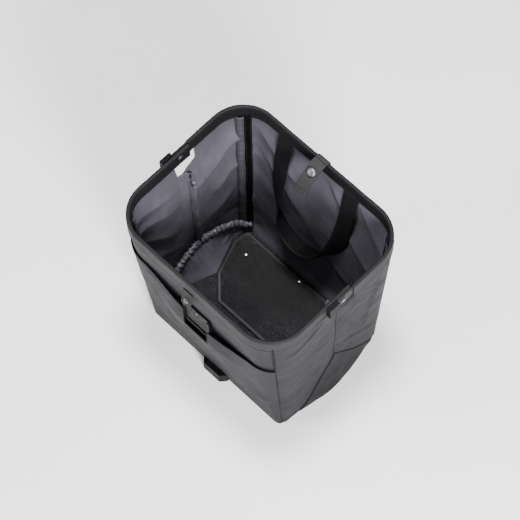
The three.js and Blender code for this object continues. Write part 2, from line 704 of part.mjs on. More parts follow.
const strapX0 = STRAP_CENTRE_X - STRAP_WIDTH / 2;
const strapX1 = STRAP_CENTRE_X + STRAP_WIDTH / 2;
const SLEEVE_OUT = BAR_AXIS_Y + SLEEVE_THICKNESS / 2 + GAP;
const STRAP_Z = RIM_TOP + GAP;
piece('strap_anchor', 'webbing', prismX([
  [SLEEVE_OUT, 338],
  [SLEEVE_OUT + STRAP_THICKNESS, 338],
  [SLEEVE_OUT + STRAP_THICKNESS, STRAP_Z + STRAP_THICKNESS],
  [136.7, STRAP_Z + STRAP_THICKNESS],
  [136.7, STRAP_Z],
  [SLEEVE_OUT, STRAP_Z],
], strapX0, strapX1));

{
  const start = [136, STRAP_Z + STRAP_THICKNESS / 2]; // it turns about a line 1.3 mm above this edge
  const drape = [[0, 0], [10, -2], [29, -14.2], [34, -18.5], [42, -27.5], [49, -38]];
  const path = drape.map(([inward, drop]) => [start[0] - inward, start[1] + drop]);
  const snapAt = new THREE.Vector3(STRAP_CENTRE_X, start[0] - 19.5, start[1] - 8.1); // half way down the straight part
  const slope = Math.atan2(12.2, 19);
  const place = (geometry) => geometry.rotateX(Math.PI / 2 + slope).translate(snapAt.x, snapAt.y, snapAt.z);
  const strap = strapSheet(path, STRAP_THICKNESS, strapX0, strapX1);
  piece('closure_strap', 'webbing', cut(strap, place(new THREE.CylinderGeometry(2.8, 2.8, 8, 16))));
  const h = STRAP_THICKNESS / 2 + GAP;
  piece('snap_cap', 'snap', place(turned([
    [0, -h - 2],
    [5, -h - 2],
    [5.4, -h],
    [2.4, -h],
    [2.4, h],
    [8.2, h],
    [8, h + 1],
    [6, h + 1.9],
    [0, h + 2.2],
  ], 28)));
}

{
  const hinge = [-(RIM_HALF_Y + 0.6 + STRAP_THICKNESS / 2), 335];
  const drape = [[0, 0], [1, -8], [3, -18], [5.5, -28], [7, -35]];
  const path = drape.map(([outward, drop]) => [hinge[0] - outward, hinge[1] + drop]);
  const x0 = STRAP_CENTRE_X - TAB_WIDTH / 2;
  const x1 = STRAP_CENTRE_X + TAB_WIDTH / 2;
  const slope = Math.atan2(5.5 - 3, 10);
  const at = new THREE.Vector3(STRAP_CENTRE_X, hinge[0] - 4.25, hinge[1] - 23);
  const place = (geometry) => geometry.rotateX(Math.PI - slope).translate(at.x, at.y, at.z);
  const tab = strapSheet(path, STRAP_THICKNESS, x0, x1);
  piece('snap_tab', 'webbing', cut(tab, place(new THREE.CylinderGeometry(2.4, 2.4, 8, 16))));
  const h = STRAP_THICKNESS / 2 + GAP;
  piece('snap_stud', 'snap', place(turned([
    [0, -h - 0.8],
    [3.4, -h - 0.8],
    [3.4, -h],
    [2, -h],
    [2, h],
    [4.5, h],
    [4.5, h + 0.7],
    [2.6, h + 1],
    [2.8, h + 2.4],
    [1.9, h + 2.8],
    [0, h + 2.8],
  ], 20)));
}

// A webbing loop hanging flat against a wall's lining, from one end at the rim to the other.
function handleLoop(points) {
  const curve = new THREE.CatmullRomCurve3(points.map(([x, z]) => new THREE.Vector3(x, z, 0)), false, 'centripetal');
  const count = 18;
  const left = [];
  const right = [];
  for (let i = 0; i <= count; i += 1) {
    const p = curve.getPointAt(i / count);
    const t = curve.getTangentAt(i / count);
    left.push(new THREE.Vector2(p.x - t.y * (HANDLE_WIDTH / 2), p.y + t.x * (HANDLE_WIDTH / 2)));
    right.unshift(new THREE.Vector2(p.x + t.y * (HANDLE_WIDTH / 2), p.y - t.x * (HANDLE_WIDTH / 2)));
  }
  const shape = new THREE.Shape([...left, ...right]);
  const geometry = new THREE.ExtrudeGeometry(shape, { depth: WEBBING, bevelEnabled: false });
  return geometry.rotateX(Math.PI / 2);
}

const HANDLE_OFF = WALL_STACK + 1;
const frontLoop = handleLoop([
  [-73, HANDLE_TOP], [-77, 260], [-80, 185], [-71, 130], [-38, 100], [8, 113], [42, 155], [57, 215], [61, HANDLE_TOP],
]);
piece('front_handle', 'webbing', frontLoop.translate(0, -HANDLE_OFF, 0), frontFace);
const rearLoop = handleLoop([
  [-67, HANDLE_TOP], [-68, 250], [-66, 175], [-46, 122], [0, 100], [46, 122], [66, 175], [68, 250], [67, HANDLE_TOP],
]);
piece('rear_handle', 'webbing', rearLoop.translate(0, HANDLE_OFF + WEBBING, 0), rearFace);

const placed = new THREE.Group();
placed.add(basket);
basket.position.y = PLAN_SHIFT;
export default placed;
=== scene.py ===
"""The looks of a folding handlebar basket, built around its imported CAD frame.

Points are worked out in millimetres about the middle of the rim, as the design is dimensioned, and
placed in the frame in metres. +X runs along the long side, -Y faces the bicycle and +Z is up.
"""
import math
from collections import namedtuple
from functools import partial

import bpy
import numpy as np
from mathutils import Matrix, Vector


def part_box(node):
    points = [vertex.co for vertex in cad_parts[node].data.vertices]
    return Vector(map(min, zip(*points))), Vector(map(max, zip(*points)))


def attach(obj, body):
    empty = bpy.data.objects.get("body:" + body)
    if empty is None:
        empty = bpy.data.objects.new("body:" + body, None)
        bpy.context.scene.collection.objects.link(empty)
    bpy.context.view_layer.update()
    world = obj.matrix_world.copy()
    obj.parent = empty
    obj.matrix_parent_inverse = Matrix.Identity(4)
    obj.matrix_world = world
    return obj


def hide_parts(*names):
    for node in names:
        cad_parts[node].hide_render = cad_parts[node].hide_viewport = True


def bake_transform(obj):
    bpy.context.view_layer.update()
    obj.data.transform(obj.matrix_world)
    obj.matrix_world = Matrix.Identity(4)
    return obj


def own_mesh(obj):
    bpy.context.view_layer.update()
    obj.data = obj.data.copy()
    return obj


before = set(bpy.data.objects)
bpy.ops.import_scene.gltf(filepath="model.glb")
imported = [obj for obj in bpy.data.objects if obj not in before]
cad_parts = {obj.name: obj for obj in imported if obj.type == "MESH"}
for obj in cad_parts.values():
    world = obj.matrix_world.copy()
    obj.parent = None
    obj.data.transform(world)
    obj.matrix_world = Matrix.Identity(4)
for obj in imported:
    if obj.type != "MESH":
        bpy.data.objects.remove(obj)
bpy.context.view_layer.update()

MM = 0.001


# ---- dimensions, read from the frame where a node gives them ------------------------------------
def node_mm(node):
    low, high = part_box(node)
    return np.array(low) / MM, np.array(high) / MM


rear_low = node_mm("rear_frame_bar")[0]
front_high = node_mm("front_frame_bar")[1]
PLAN_SHIFT = (rear_low[1] + front_high[1]) / 2
BAR_HALF = 1.5
FRONT_ARM_X = front_high[0] - BAR_HALF
REAR_ARM_X = -rear_low[0] - BAR_HALF
BAR_AXIS_Y = (front_high[1] - rear_low[1]) / 2 - BAR_HALF
SLEEVE_FOOT, RIM_TOP = (corner[2] for corner in node_mm("front_frame_sleeve"))
SLEEVE_HALF = 3.2
SLEEVE_DROP = 4.5  # the sewn edge of the sleeve hangs a little below the bar's channel
BEND_RADIUS = 58.8
WALL_TOP = 335.3
WALL_TUCK = 338.4  # the fabric runs up into the sleeve, to the bar
WALL_STACK = 4.4  # of the long walls' shell, board and lining
LONG_SHELL_DEPTH = 1.5
LONG_LINING_DEPTH = 3.6
SIDE_SHELL_DEPTHS = (0, 1.2)
SIDE_LINING_DEPTHS = (1.6, 2.4)
RIM_OUT = WALL_STACK / 2
BASE_HALF_X = 146
BASE_HALF_Y = 108.5
BASE_RADIUS = 14
RIM_HALF_Y = BAR_AXIS_Y + RIM_OUT
RIM_RADIUS = BEND_RADIUS + RIM_OUT
LEAN = math.atan((RIM_HALF_Y - BASE_HALF_Y) / WALL_TOP)
CENTRE_X = (FRONT_ARM_X + REAR_ARM_X) / 2 + RIM_OUT
SIDE_BULGE = 13
SEAM_ANGLE = 0.5
FLOOR_PIVOT_Y = 103.5
FLOOR_PIVOT_Z = 4.2
FLOOR_TILT = math.radians(13.3)
FLOOR_HALF = 105
POCKET_CENTRE_X = 4
POCKET_EDGE_X = (-150, -112, -43, 24, 116, 150)
POCKET_EDGE_Z = (276, 270, 250, 232, 240, 246)  # the pocket's upper edge sags in the middle
POCKET_NOTCH_SIDES = (-28, 36)
POCKET_NOTCH_ROUND = 1.2  # half the width over which the edge turns down into the notch
POCKET_NOTCH_BOTTOM = 198
POCKET_HEIGHTS = (0, 60, 120, 160, POCKET_NOTCH_BOTTOM, 230, 280)
POCKET_GAPES = (0, 1.6, 5.6, 9.8, 12.2, 7.0, 2.5)  # how far the pocket stands off the wall at those heights
STRAP_CENTRE_X = -3

BASE_SIZE = (BASE_HALF_X, BASE_HALF_Y, BASE_RADIUS)
REAR_RIM = (REAR_ARM_X + RIM_OUT, RIM_HALF_Y, RIM_RADIUS)
FRONT_RIM = (FRONT_ARM_X + RIM_OUT, RIM_HALF_Y, RIM_RADIUS)
ENDS = {"rear": (-1, REAR_RIM, "root"), "front": (1, FRONT_RIM, "front_wall")}
Quarter = namedtuple("Quarter", "name label side end rim body")  # half a short wall
QUARTERS = [
    Quarter(f"{side_label}_{label}", label, side, end, rim, body)
    for side_label, side in (("left", -1), ("right", 1))
    for label, (end, rim, body) in ENDS.items()
]


# ---- materials ----------------------------------------------------------------------------------
WAVE_PERIOD = 0.314  # of a wave texture at scale 1


def scaled(colour, factor):
    return tuple(c * factor for c in colour)


class Nodes:
    """A material's node tree, with short calls to add and link nodes."""

    def __init__(self, name):
        self.material = bpy.data.materials.new(name)
        self.material.use_nodes = True
        self.tree = self.material.node_tree
        self.shader = self.tree.nodes["Principled BSDF"]

    def feed(self, socket, value):
        """Give a socket a number or a colour, or link it to another node's output."""
        if isinstance(value, tuple):
            socket.default_value = (*value, 1)
        elif isinstance(value, (int, float)):
            socket.default_value = value
        elif value is not None:
            self.tree.links.new(value, socket)

    def add(self, kind, output, **settings):
        """Add a node with its inputs and settings, and give one of its outputs."""
        node = self.tree.nodes.new("ShaderNode" + kind)
        for key, value in settings.items():
            if key in node.inputs:
                self.feed(node.inputs[key], value)
            else:
                setattr(node, key, value)
        return node.outputs[output]

    def where(self, kind):
        """The shaded point's place: UV, in metres of cloth, or Object."""
        return self.add("TexCoord", kind)

    def noise(self, vector, scale, detail=2.0, distortion=0.0):
        settings = {"Scale": scale, "Detail": detail, "Distortion": distortion}
        return self.add("TexNoise", "Fac", Vector=vector, **settings)

    def bands(self, vector, pitch, direction):
        settings = {"bands_direction": direction, "Scale": WAVE_PERIOD / pitch, "Distortion": 0.3}
        return self.add("TexWave", "Fac", Vector=vector, **settings)

    def ramp(self, factor, *stops):
        """A ramp through stops, each a position and a colour or a grey."""
        node = self.tree.nodes.new("ShaderNodeValToRGB")
        elements = node.color_ramp.elements
        while len(elements) < len(stops):
            elements.new(0.5)
        for element, (position, colour) in zip(elements, stops):
            element.position = position
            element.color = (*np.broadcast_to(colour, 3), 1)
        self.feed(node.inputs["Fac"], factor)
        return node.outputs["Color"]

    def tones(self, factor, colour, *stops):
        """A ramp of one colour, made darker or lighter at each stop."""
        return self.ramp(factor, *((position, scaled(colour, share)) for position, share in stops))

    def math(self, operation, a, b):
        node = self.tree.nodes.new("ShaderNodeMath")
        node.operation = operation
        for socket, value in zip(node.inputs, (a, b)):
            self.feed(socket, value)
        return node.outputs[0]

    def mix(self, factor, a, b, blend="MIX"):
        node = self.tree.nodes.new("ShaderNodeMix")
        node.data_type = "RGBA"
        node.blend_type = blend
        for socket, value in zip((node.inputs[0], node.inputs[6], node.inputs[7]), (factor, a, b)):
            self.feed(socket, value)
        return node.outputs[2]

    def bump(self, height, distance, strength=1.0, under=None):
        return self.add("Bump", "Normal", Height=height, Distance=distance, Strength=strength, Normal=under)

    def finish(self, colour, roughness, normal=None, **fixed):
        values = {"Base_Color": colour, "Roughness": roughness, "Normal": normal, **fixed}
        for key, value in values.items():
            self.feed(self.shader.inputs[key.replace("_", " ")], value)
        return self.material


def woven(
    name, colour, pitch=0.0007, relief=0.00012, roughness=0.6, mottle=0.22, specular=0.5, highlight_strength=0.0,
):
    """Woven cloth: warp and weft in the piece's own metres, slubs, handling marks and painted highlights
    along thin crease lines.
    """
    n = Nodes(name)
    uv = n.where("UV")
    weave = n.math("MULTIPLY", n.bands(uv, pitch, "X"), n.bands(uv, pitch, "Y"))
    cloudy = n.noise(uv, 16, 4, 0.4)
    patches = n.tones(cloudy, colour, (0.32, 1 - mottle), (0.68, 1 + mottle))
    threads = n.ramp(weave, (0.0, 0.78), (0.9, 1.12))
    slubs = n.ramp(n.noise(uv, 420, 3), (0.35, 0.9), (0.7, 1.1))
    fuzzy = n.mix(1.0, n.mix(1.0, patches, threads, "MULTIPLY"), slubs, "MULTIPLY")
    # Painted highlights: thin bright crease lines, in patches, that mix the colour up to 2.6 times lighter.
    creases = n.ramp(n.noise(uv, 6, 0, 0.25), (0.492, 0), (0.5, 1), (0.508, 0))
    highlight_patches = n.ramp(n.noise(uv, 13, 2), (0.5, 0), (0.62, 1))
    painted_crease_highlights = n.math("MULTIPLY", n.math("MULTIPLY", creases, highlight_patches), highlight_strength)
    final = n.mix(painted_crease_highlights, fuzzy, scaled(colour, 2.6))
    crinkle = n.bump(n.noise(uv, 95, 4, 0.6), 0.0005, 0.35)
    gloss = n.ramp(cloudy, (0.3, roughness - 0.07), (0.7, roughness + 0.06))
    return n.finish(final, gloss, n.bump(weave, relief, 0.7, crinkle), Specular_IOR_Level=specular)


def ribbed_webbing(name, colour, rib=0.0016):
    """Woven tape: ribs across it, a twill step along it and slightly worn edges."""
    n = Nodes(name)
    uv = n.where("UV")
    twill = n.math("MULTIPLY", n.bands(uv, rib * 1.3, "DIAGONAL"), 0.6)
    weave = n.math("MULTIPLY", n.bands(uv, rib, "Y"), n.math("ADD", twill, 0.4))
    ribs = n.tones(weave, colour, (0.0, 0.5), (0.75, 1.5))
    fuzz = n.ramp(n.noise(uv, 900, 2), (0.35, 0.8), (0.7, 1.25))
    final = n.mix(1.0, ribs, fuzz, "MULTIPLY")
    return n.finish(final, 0.62, n.bump(weave, 0.0004, 0.8), Specular_IOR_Level=0.2)


def grained_board(name, colour):
    """Black board with a leather-like grain, scuffed in places, and painted glints: bright specks in patches.
    """
    n = Nodes(name)
    uv = n.where("UV")
    pebbles = n.add("TexVoronoi", "Distance", Vector=uv, Scale=820.0)
    fine = n.noise(uv, 1500, 2)
    grain = n.tones(pebbles, colour, (0.0, 1.6), (0.6, 0.6))
    scuffs = n.ramp(n.noise(uv, 22, 5, 0.8), (0.45, 0.85), (0.75, 1.6))
    # Painted glints: specks, in patches, mixed towards 26 times the board's colour.
    glints = n.ramp(n.noise(uv, 380, 2), (0.57, 0), (0.63, 1))
    glint_patches = n.ramp(n.noise(uv, 7, 3), (0.44, 0), (0.6, 0.8))
    scuffed = n.mix(1.0, grain, scuffs, "MULTIPLY")
    final = n.mix(n.math("MULTIPLY", glints, glint_patches), scuffed, scaled(colour, 26))
    height = n.math("ADD", pebbles, n.math("MULTIPLY", fine, 0.5))
    gloss = n.ramp(fine, (0.35, 0.24), (0.62, 0.6))
    return n.finish(final, gloss, n.bump(height, 0.0011, 0.9), Specular_IOR_Level=0.42)


def moulded(name, colour, roughness=0.5):
    """Moulded plastic with a fine spark texture and rubbed edges."""
    n = Nodes(name)
    where = n.where("Object")
    handling = n.noise(where, 60, 3)
    shade = n.tones(handling, colour, (0.3, 0.85), (0.75, 1.25))
    gloss = n.ramp(handling, (0.3, roughness - 0.08), (0.7, roughness + 0.08))
    return n.finish(shade, gloss, n.bump(n.noise(where, 2200, 2), 0.00012, 0.5), Specular_IOR_Level=0.06)


def metal(name, colour, roughness):
    """Bare or plated metal with faint turning marks and smears."""
    n = Nodes(name)
    smears = n.noise(n.where("Object"), 240, 4, 0.5)
    shade = n.tones(smears, colour, (0.3, 0.9), (0.7, 1.08))
    gloss = n.ramp(smears, (0.3, roughness * 0.8), (0.7, roughness * 1.35))
    return n.finish(shade, gloss, n.bump(smears, 0.00005, 0.4), Metallic=1.0)


def painted(name, colour):
    """Dull paint with a faint orange peel and worn patches."""
    n = Nodes(name)
    where = n.where("Object")
    chips = n.noise(where, 45, 5, 0.7)
    shade = n.tones(chips, colour, (0.4, 0.9), (0.72, 1.5))
    gloss = n.ramp(chips, (0.35, 0.5), (0.7, 0.62))
    return n.finish(shade, gloss, n.bump(n.noise(where, 700, 2), 0.00008, 0.5), Specular_IOR_Level=0.18)


MATERIALS = {
    "shell": woven("outer cloth", (0.0158, 0.0141, 0.0178), specular=0.08, highlight_strength=0.6),
    "dark_shell": woven("base cloth", (0.0088, 0.0078, 0.0098), mottle=0.12, specular=0.08),
    "sleeve": woven("rim cloth", (0.0102, 0.0094, 0.0113), pitch=0.0006, mottle=0.15, specular=0.15),
    "lining": woven(
        "lining", (0.092, 0.086, 0.107), pitch=0.0005, relief=0.00007, roughness=0.36, mottle=0.1, highlight_strength=0.1,
    ),
    "binding": ribbed_webbing("binding tape", (0.056, 0.054, 0.064), 0.0011),
    "piping": woven("piping", (0.003, 0.003, 0.0033), pitch=0.0005, specular=0.05),
    "webbing": ribbed_webbing("handle webbing", (0.0042, 0.0042, 0.0052)),
    # The closure strap's webbing is painted about five times lighter than the handles' webbing: painted
    # light, where the strap lies lit across the rim.
    "strap": ribbed_webbing("strap webbing", (0.02, 0.0195, 0.022)),
    "tab": ribbed_webbing("tab webbing", (0.009, 0.0088, 0.0098)),
    "thread": woven("thread", (0.016, 0.016, 0.018), pitch=0.0003, mottle=0.1, specular=0.2),
    "board": grained_board("floor board", (0.003, 0.0028, 0.004)),
    "smooth_board": grained_board("floor board rim", (0.0048, 0.0045, 0.0062)),
    "board_edge": woven("board binding", (0.0075, 0.0068, 0.0088), pitch=0.0006, roughness=0.6),
    "stiffener": moulded("wall stiffener", (0.017, 0.017, 0.018), 0.6),
    "plastic": moulded("black plastic", (0.0028, 0.0028, 0.0032)),
    "steel": painted("black bar", (0.0035, 0.0035, 0.0038)),
    "bright": metal("bright steel", (0.75, 0.75, 0.76), 0.22),
    "gunmetal": metal("gunmetal", (0.16, 0.16, 0.17), 0.45),
}


# ---- numbers and shapes -------------------------------------------------------------------------
def mix(a, b, t):
    return a + (b - a) * t


def smooth(x, low, high):
    """0 below low, 1 above high, easing between them."""
    t = np.clip((x - low) / (high - low), 0, 1)
    return t * t * (3 - 2 * t)


def hump(x, centre, width):
    return np.exp(-(((x - centre) / width) ** 2))


def ripple(u, v, size, seed):
    """Smooth noise between -1 and 1 over two coordinates, on a lattice of the given size."""
    table = np.random.default_rng(seed).uniform(-1, 1, (64, 64))
    x, y = np.asarray(u) / size, np.asarray(v) / size
    i, j = np.floor(x).astype(int), np.floor(y).astype(int)
    fx, fy = smooth(x - i, 0, 1), smooth(y - j, 0, 1)
    corner = lambda di, dj: table[(i + di) % 64, (j + dj) % 64]
    return mix(mix(corner(0, 0), corner(1, 0), fx), mix(corner(0, 1), corner(1, 1), fx), fy)


def fold(u, v, start, end, width, height):
    """A fold in cloth between two points: it rises gently, drops off steeply and fades at both ends."""
    (u0, v0), (u1, v1) = start, end
    length = math.hypot(u1 - u0, v1 - v0)
    du, dv = (u1 - u0) / length, (v1 - v0) / length
    along = ((u - u0) * du + (v - v0) * dv) / length
    across = (u - u0) * dv - (v - v0) * du
    fade = smooth(along, -0.15, 0.3) * (1 - smooth(along, 0.7, 1.15))
    reach = np.where(across < 0, width * 1.5, width * 0.4)
    return height * fade * np.exp(-np.abs(across / reach) ** 1.5)


def unit(vectors):
    return vectors / np.linalg.norm(vectors, axis=-1)[..., None]


def distances(path):
    """How far along a path each of its points is."""
    return np.concatenate([[0], np.cumsum(np.linalg.norm(np.diff(path, axis=0), axis=1))])


def material_of(piece, key):
    piece.data.materials.clear()
    piece.data.materials.append(MATERIALS[key])


def volume_of(points, faces):
    total = 0
    for face in faces:
        a = points[face[0]]
        for b, c in zip(face[1:-1], face[2:]):
            total += np.dot(a, np.cross(points[b], points[c]))
    return total / 6


def add_mesh(name, points, faces, uvs, key, sharp=40):
    """A closed piece from points in millimetres about the rim's middle, with a uv in metres for each."""
    points = np.array(points, float)
    if volume_of(points, faces) < 0:
        faces = [face[::-1] for face in faces]
    mesh = bpy.data.meshes.new(name)
    mesh.from_pydata(((points + (0, PLAN_SHIFT, 0)) * MM).tolist(), [], faces)
    layer = mesh.uv_layers.new(name="metres")
    corners = np.empty(len(mesh.loops), int)
    mesh.loops.foreach_get("vertex_index", corners)
    layer.data.foreach_set("uv", np.array(uvs, float)[corners].astype(np.float32).ravel())
    mesh.shade_smooth()
    mesh.set_sharp_from_angle(angle=math.radians(sharp))
    piece = bpy.data.objects.new(name, mesh)
    bpy.context.scene.collection.objects.link(piece)
    material_of(piece, key)
    return piece


def grid_metres(grid):
    """Distances along a grid's columns and rows, in metres, for even cloth."""
    along = np.linalg.norm(np.diff(grid, axis=1), axis=2)
    up = np.linalg.norm(np.diff(grid, axis=0), axis=2)
    u = np.concatenate([[0], np.cumsum(along.mean(axis=0))])
    v = np.concatenate([[0], np.cumsum(up.mean(axis=1))])
    return np.stack(np.meshgrid(u, v), axis=2) * MM


def cloth(name, front, back, key, sharp=50):
    """A closed sheet between two grids of points [row, column, xyz], with a rounded rim."""
    rows, cols = front.shape[:2]
    size = rows * cols
    metres = grid_metres(front).reshape(-1, 2)
    at = lambda i, j: i * cols + j
    faces = []
    for i in range(rows - 1):
        for j in range(cols - 1):
            a, b, c, d = at(i, j), at(i, j + 1), at(i + 1, j + 1), at(i + 1, j)
            faces.append((a, b, c, d))
            faces.append((a + size, d + size, c + size, b + size))
    ring = [(0, j) for j in range(cols - 1)] + [(i, cols - 1) for i in range(rows - 1)]
    ring += [(rows - 1, j) for j in range(cols - 1, 0, -1)] + [(i, 0) for i in range(rows - 1, 0, -1)]
    rim = []
    for k, (i, j) in enumerate(ring):
        inside = front[min(max(i, 1), rows - 2), min(max(j, 1), cols - 2)]
        outward = front[i, j] - inside
        outward = outward / max(np.linalg.norm(outward), 1e-6)
        half = np.linalg.norm(front[i, j] - back[i, j]) / 2
        rim.append((front[i, j] + back[i, j]) / 2 + outward * half)
        following = (k + 1) % len(ring)
        a, b = at(i, j), at(*ring[following])
        c, d = 2 * size + k, 2 * size + following
        faces.append((b, a, c, d))
        faces.append((d, c, a + size, b + size))
    points = np.concatenate([front.reshape(-1, 3), back.reshape(-1, 3), rim])
    uvs = np.concatenate([metres, metres, [metres[at(i, j)] for i, j in ring]])
    return add_mesh(name, points, faces, uvs, key, sharp)


def lofted(name, rings, key, closed=False, sharp=40):
    """A solid through rings of points, capped at its ends unless it closes on itself."""
    rings = np.array(rings)
    count, around = rings.shape[:2]
    round_steps = np.linalg.norm(np.roll(rings, -1, axis=1) - rings, axis=2).mean(axis=0)
    v = np.concatenate([[0], np.cumsum(round_steps)[:-1]])
    steps = np.linalg.norm(np.diff(rings, axis=0), axis=2).mean(axis=1)
    u = np.concatenate([[0], np.cumsum(steps)])
    uvs = np.stack(np.meshgrid(v, u), axis=2).reshape(-1, 2) * MM
    faces = []
    for i in range(count if closed else count - 1):
        for j in range(around):
            here, above, aside = i * around, (i + 1) % count * around, (j + 1) % around
            faces.append((here + j, here + aside, above + aside, above + j))
    if not closed:
        faces.append(tuple(range(around))[::-1])
        faces.append(tuple((count - 1) * around + j for j in range(around)))
    return add_mesh(name, rings.reshape(-1, 3), faces, uvs, key, sharp)


def circle(radius, count):
    angles = np.arange(count) * 2 * math.pi / count
    return np.stack([np.cos(angles), np.sin(angles)], axis=1) * radius


def frames_along(path, up):
    """The sideways and upward directions at each point of a path."""
    tangent = unit(np.gradient(path, axis=0))
    side = unit(np.cross(tangent, np.broadcast_to(np.array(up, float), path.shape)))
    return side, np.cross(side, tangent)


def cord(name, path, radius, key, up=(0, 0, 1)):
    """A round cord along a path."""
    section = circle(radius, 8)
    side, top = frames_along(path, up)
    rings = [p + section[:, :1] * s + section[:, 1:] * t for p, s, t in zip(path, side, top)]
    return lofted(name, rings, key)


def resample(points, step):
    """A smooth curve through a few points, sampled at an even step."""
    p = np.array(points, float)
    padded = np.concatenate([[2 * p[0] - p[1]], p, [2 * p[-1] - p[-2]]])
    t = np.linspace(0, 1, 24, endpoint=False)[:, None]
    fine = []
    for a, b, c, d in zip(padded, padded[1:], padded[2:], padded[3:]):
        curve = (2 * a - 5 * b + 4 * c - d) * t**2 + (3 * b - a - 3 * c + d) * t**3
        fine.append(0.5 * (2 * b + (c - a) * t + curve))
    fine = np.concatenate([*fine, p[-1:]])
    run = distances(fine)
    even = np.linspace(0, run[-1], max(3, round(run[-1] / step) + 1))
    return np.stack([np.interp(even, run, column) for column in fine.T], axis=1)


STITCH_LENGTH = 2.6
STITCH_RADIUS = 0.33
STITCH_SHAPE = ((0, 0.35, -0.15), (0.25, 1, 0.12), (0.75, 1, 0.12), (1, 0.35, -0.15))  # share, width, lift


def stitches(name, path, normals, pitch=4.0):
    """A row of stitches lying on a surface along a path, each a small pointed bar."""
    path = np.array(path, float)
    normals = np.array(normals, float)
    run = distances(path)
    between = lambda s, values: np.array([np.interp(s, run, column) for column in values.T])
    ring = circle(1, 5) * STITCH_RADIUS
    points, faces, uvs = [], [], []
    for start in np.arange(pitch / 2, run[-1] - STITCH_LENGTH, pitch):
        first = len(points)
        middle = start + STITCH_LENGTH / 2
        tangent = unit(between(middle + 0.5, path) - between(middle - 0.5, path))
        normal = between(middle, normals)
        side = np.cross(tangent, normal)
        for share, width, lift in STITCH_SHAPE:
            s = start + share * STITCH_LENGTH
            centre = between(s, path) + normal * (lift + STITCH_RADIUS * 0.3)
            for a, b in ring * width:
                points.append(centre + side * a * 1.3 + normal * b)
                uvs.append((a * MM, s * MM))
        for i in range(3):
            for j in range(5):
                a, b = first + i * 5 + j, first + i * 5 + (j + 1) % 5
                faces.append((a, b, b + 5, a + 5))
        faces.append(tuple(first + j for j in reversed(range(5))))
        faces.append(tuple(first + 15 + j for j in range(5)))
    return add_mesh(name, points, faces, uvs, "thread", 60)


# ---- the walls' surfaces ------------------------------------------------------------------------
def polar(degrees):
    radians = np.radians(degrees)
    return np.stack([np.cos(radians), np.sin(radians)], axis=-1)


def long_station(size, t, end):
    """Point and normal in plan on a long wall's outline: t runs 0-1 round a bend, 1-2 along, 2-3 round."""
    half_x, half_y, radius = size
    cx, cy = half_x - radius, half_y - radius
    first = 45 + SEAM_ANGLE + np.clip(t, 0, 1) * (45 - SEAM_ANGLE)
    angle = first + np.clip(t - 2, 0, 1) * (45 - SEAM_ANGLE)
    normal = polar(angle)
    centre_x = mix(cx, -cx, np.clip(t - 1, 0, 1))
    point = np.stack([centre_x, np.full_like(centre_x, cy)], axis=-1) + normal * radius
    flip = np.array([1, end])
    return point * flip, normal * flip


def side_station(size, t, side, end):
    """The same on half a short wall: t runs 0-1 from the middle to the bend, 1-2 round to the seam."""
    half_x, half_y, radius = size
    cx, cy = half_x - radius, half_y - radius
    middle_x = BASE_HALF_X if size is BASE_SIZE else CENTRE_X
    straight = np.clip(t, 0, 1)
    normal = polar(np.clip(t - 1, 0, 1) * (45 - SEAM_ANGLE))
    edge_x = mix(middle_x, half_x, straight) - radius
    point = np.stack([edge_x, straight * cy], axis=-1) + normal * radius
    flip = np.array([side, end])
    return point * flip, normal * flip


def wall_grid(station, rim, t, z, depth, relief=None):
    """Points of a wall's layer: t and z are grids, depth is behind the outer face, relief stands out."""
    share = (z / WALL_TOP)[..., None]
    base_point, base_normal = station(BASE_SIZE, t)
    rim_point, rim_normal = station(rim, t)
    point = mix(base_point, rim_point, share)
    out = np.full(z.shape, -float(depth))
    if relief is not None:
        out = out + relief(point[..., 0], point[..., 1], z)
    point = point + unit(mix(base_normal, rim_normal, share)) * out[..., None]
    return np.concatenate([point, z[..., None]], axis=-1)


def short_wall(quarter, wrinkled=True):
    """A function giving the points of half a short wall's layers, from t, z and depth."""
    station = partial(side_station, side=quarter.side, end=quarter.end)
    relief = (lambda x, y, z: side_relief(quarter.side, y, z)) if wrinkled else None
    return lambda t, z, depth: wall_grid(station, quarter.rim, t, z, depth, relief)


def spaced(*stops):
    """Sample positions from (value, count) stops: count steps lead from each stop to the next."""
    parts = [np.linspace(a, b, n, endpoint=False) for (a, n), (b, _) in zip(stops, stops[1:])]
    return np.concatenate(parts + [[stops[-1][0]]])


def side_relief(side, y, z):
    """How far a short wall's cloth stands off its ruled surface: bulging feet, drape and wrinkles."""
    across = np.cos(np.pi / 2 * np.clip(np.abs(y) / BASE_HALF_Y, 0, 1)) ** 2
    share = z / WALL_TOP
    bulge = SIDE_BULGE * across * np.clip(1 - share / 0.5, 0, 1) ** 2
    drape = -4.5 * across * hump(z, 275, 55) * (1 - smooth(z, 318, 336))
    crease = -1.8 * hump(y, 0, 7) * smooth(z, 110, 150) * (1 - smooth(z, 310, 335))
    slack = 2.2 * hump(np.abs(y), 88, 26) * hump(z, 62, 40)
    tension = sum(fold(y, z, *crease_line) for crease_line in SIDE_FOLDS[side])
    calm = 1 - smooth(z, 322, 336)
    small = ripple(y + 0.5 * z + 900, z + 300, 34, 5 + side) * 0.9
    small = small + ripple(y + 700, z + 900, 15, 9 + side) * 0.35
    return bulge + drape + crease + slack + (tension * 1.5 + small * 1.3) * calm


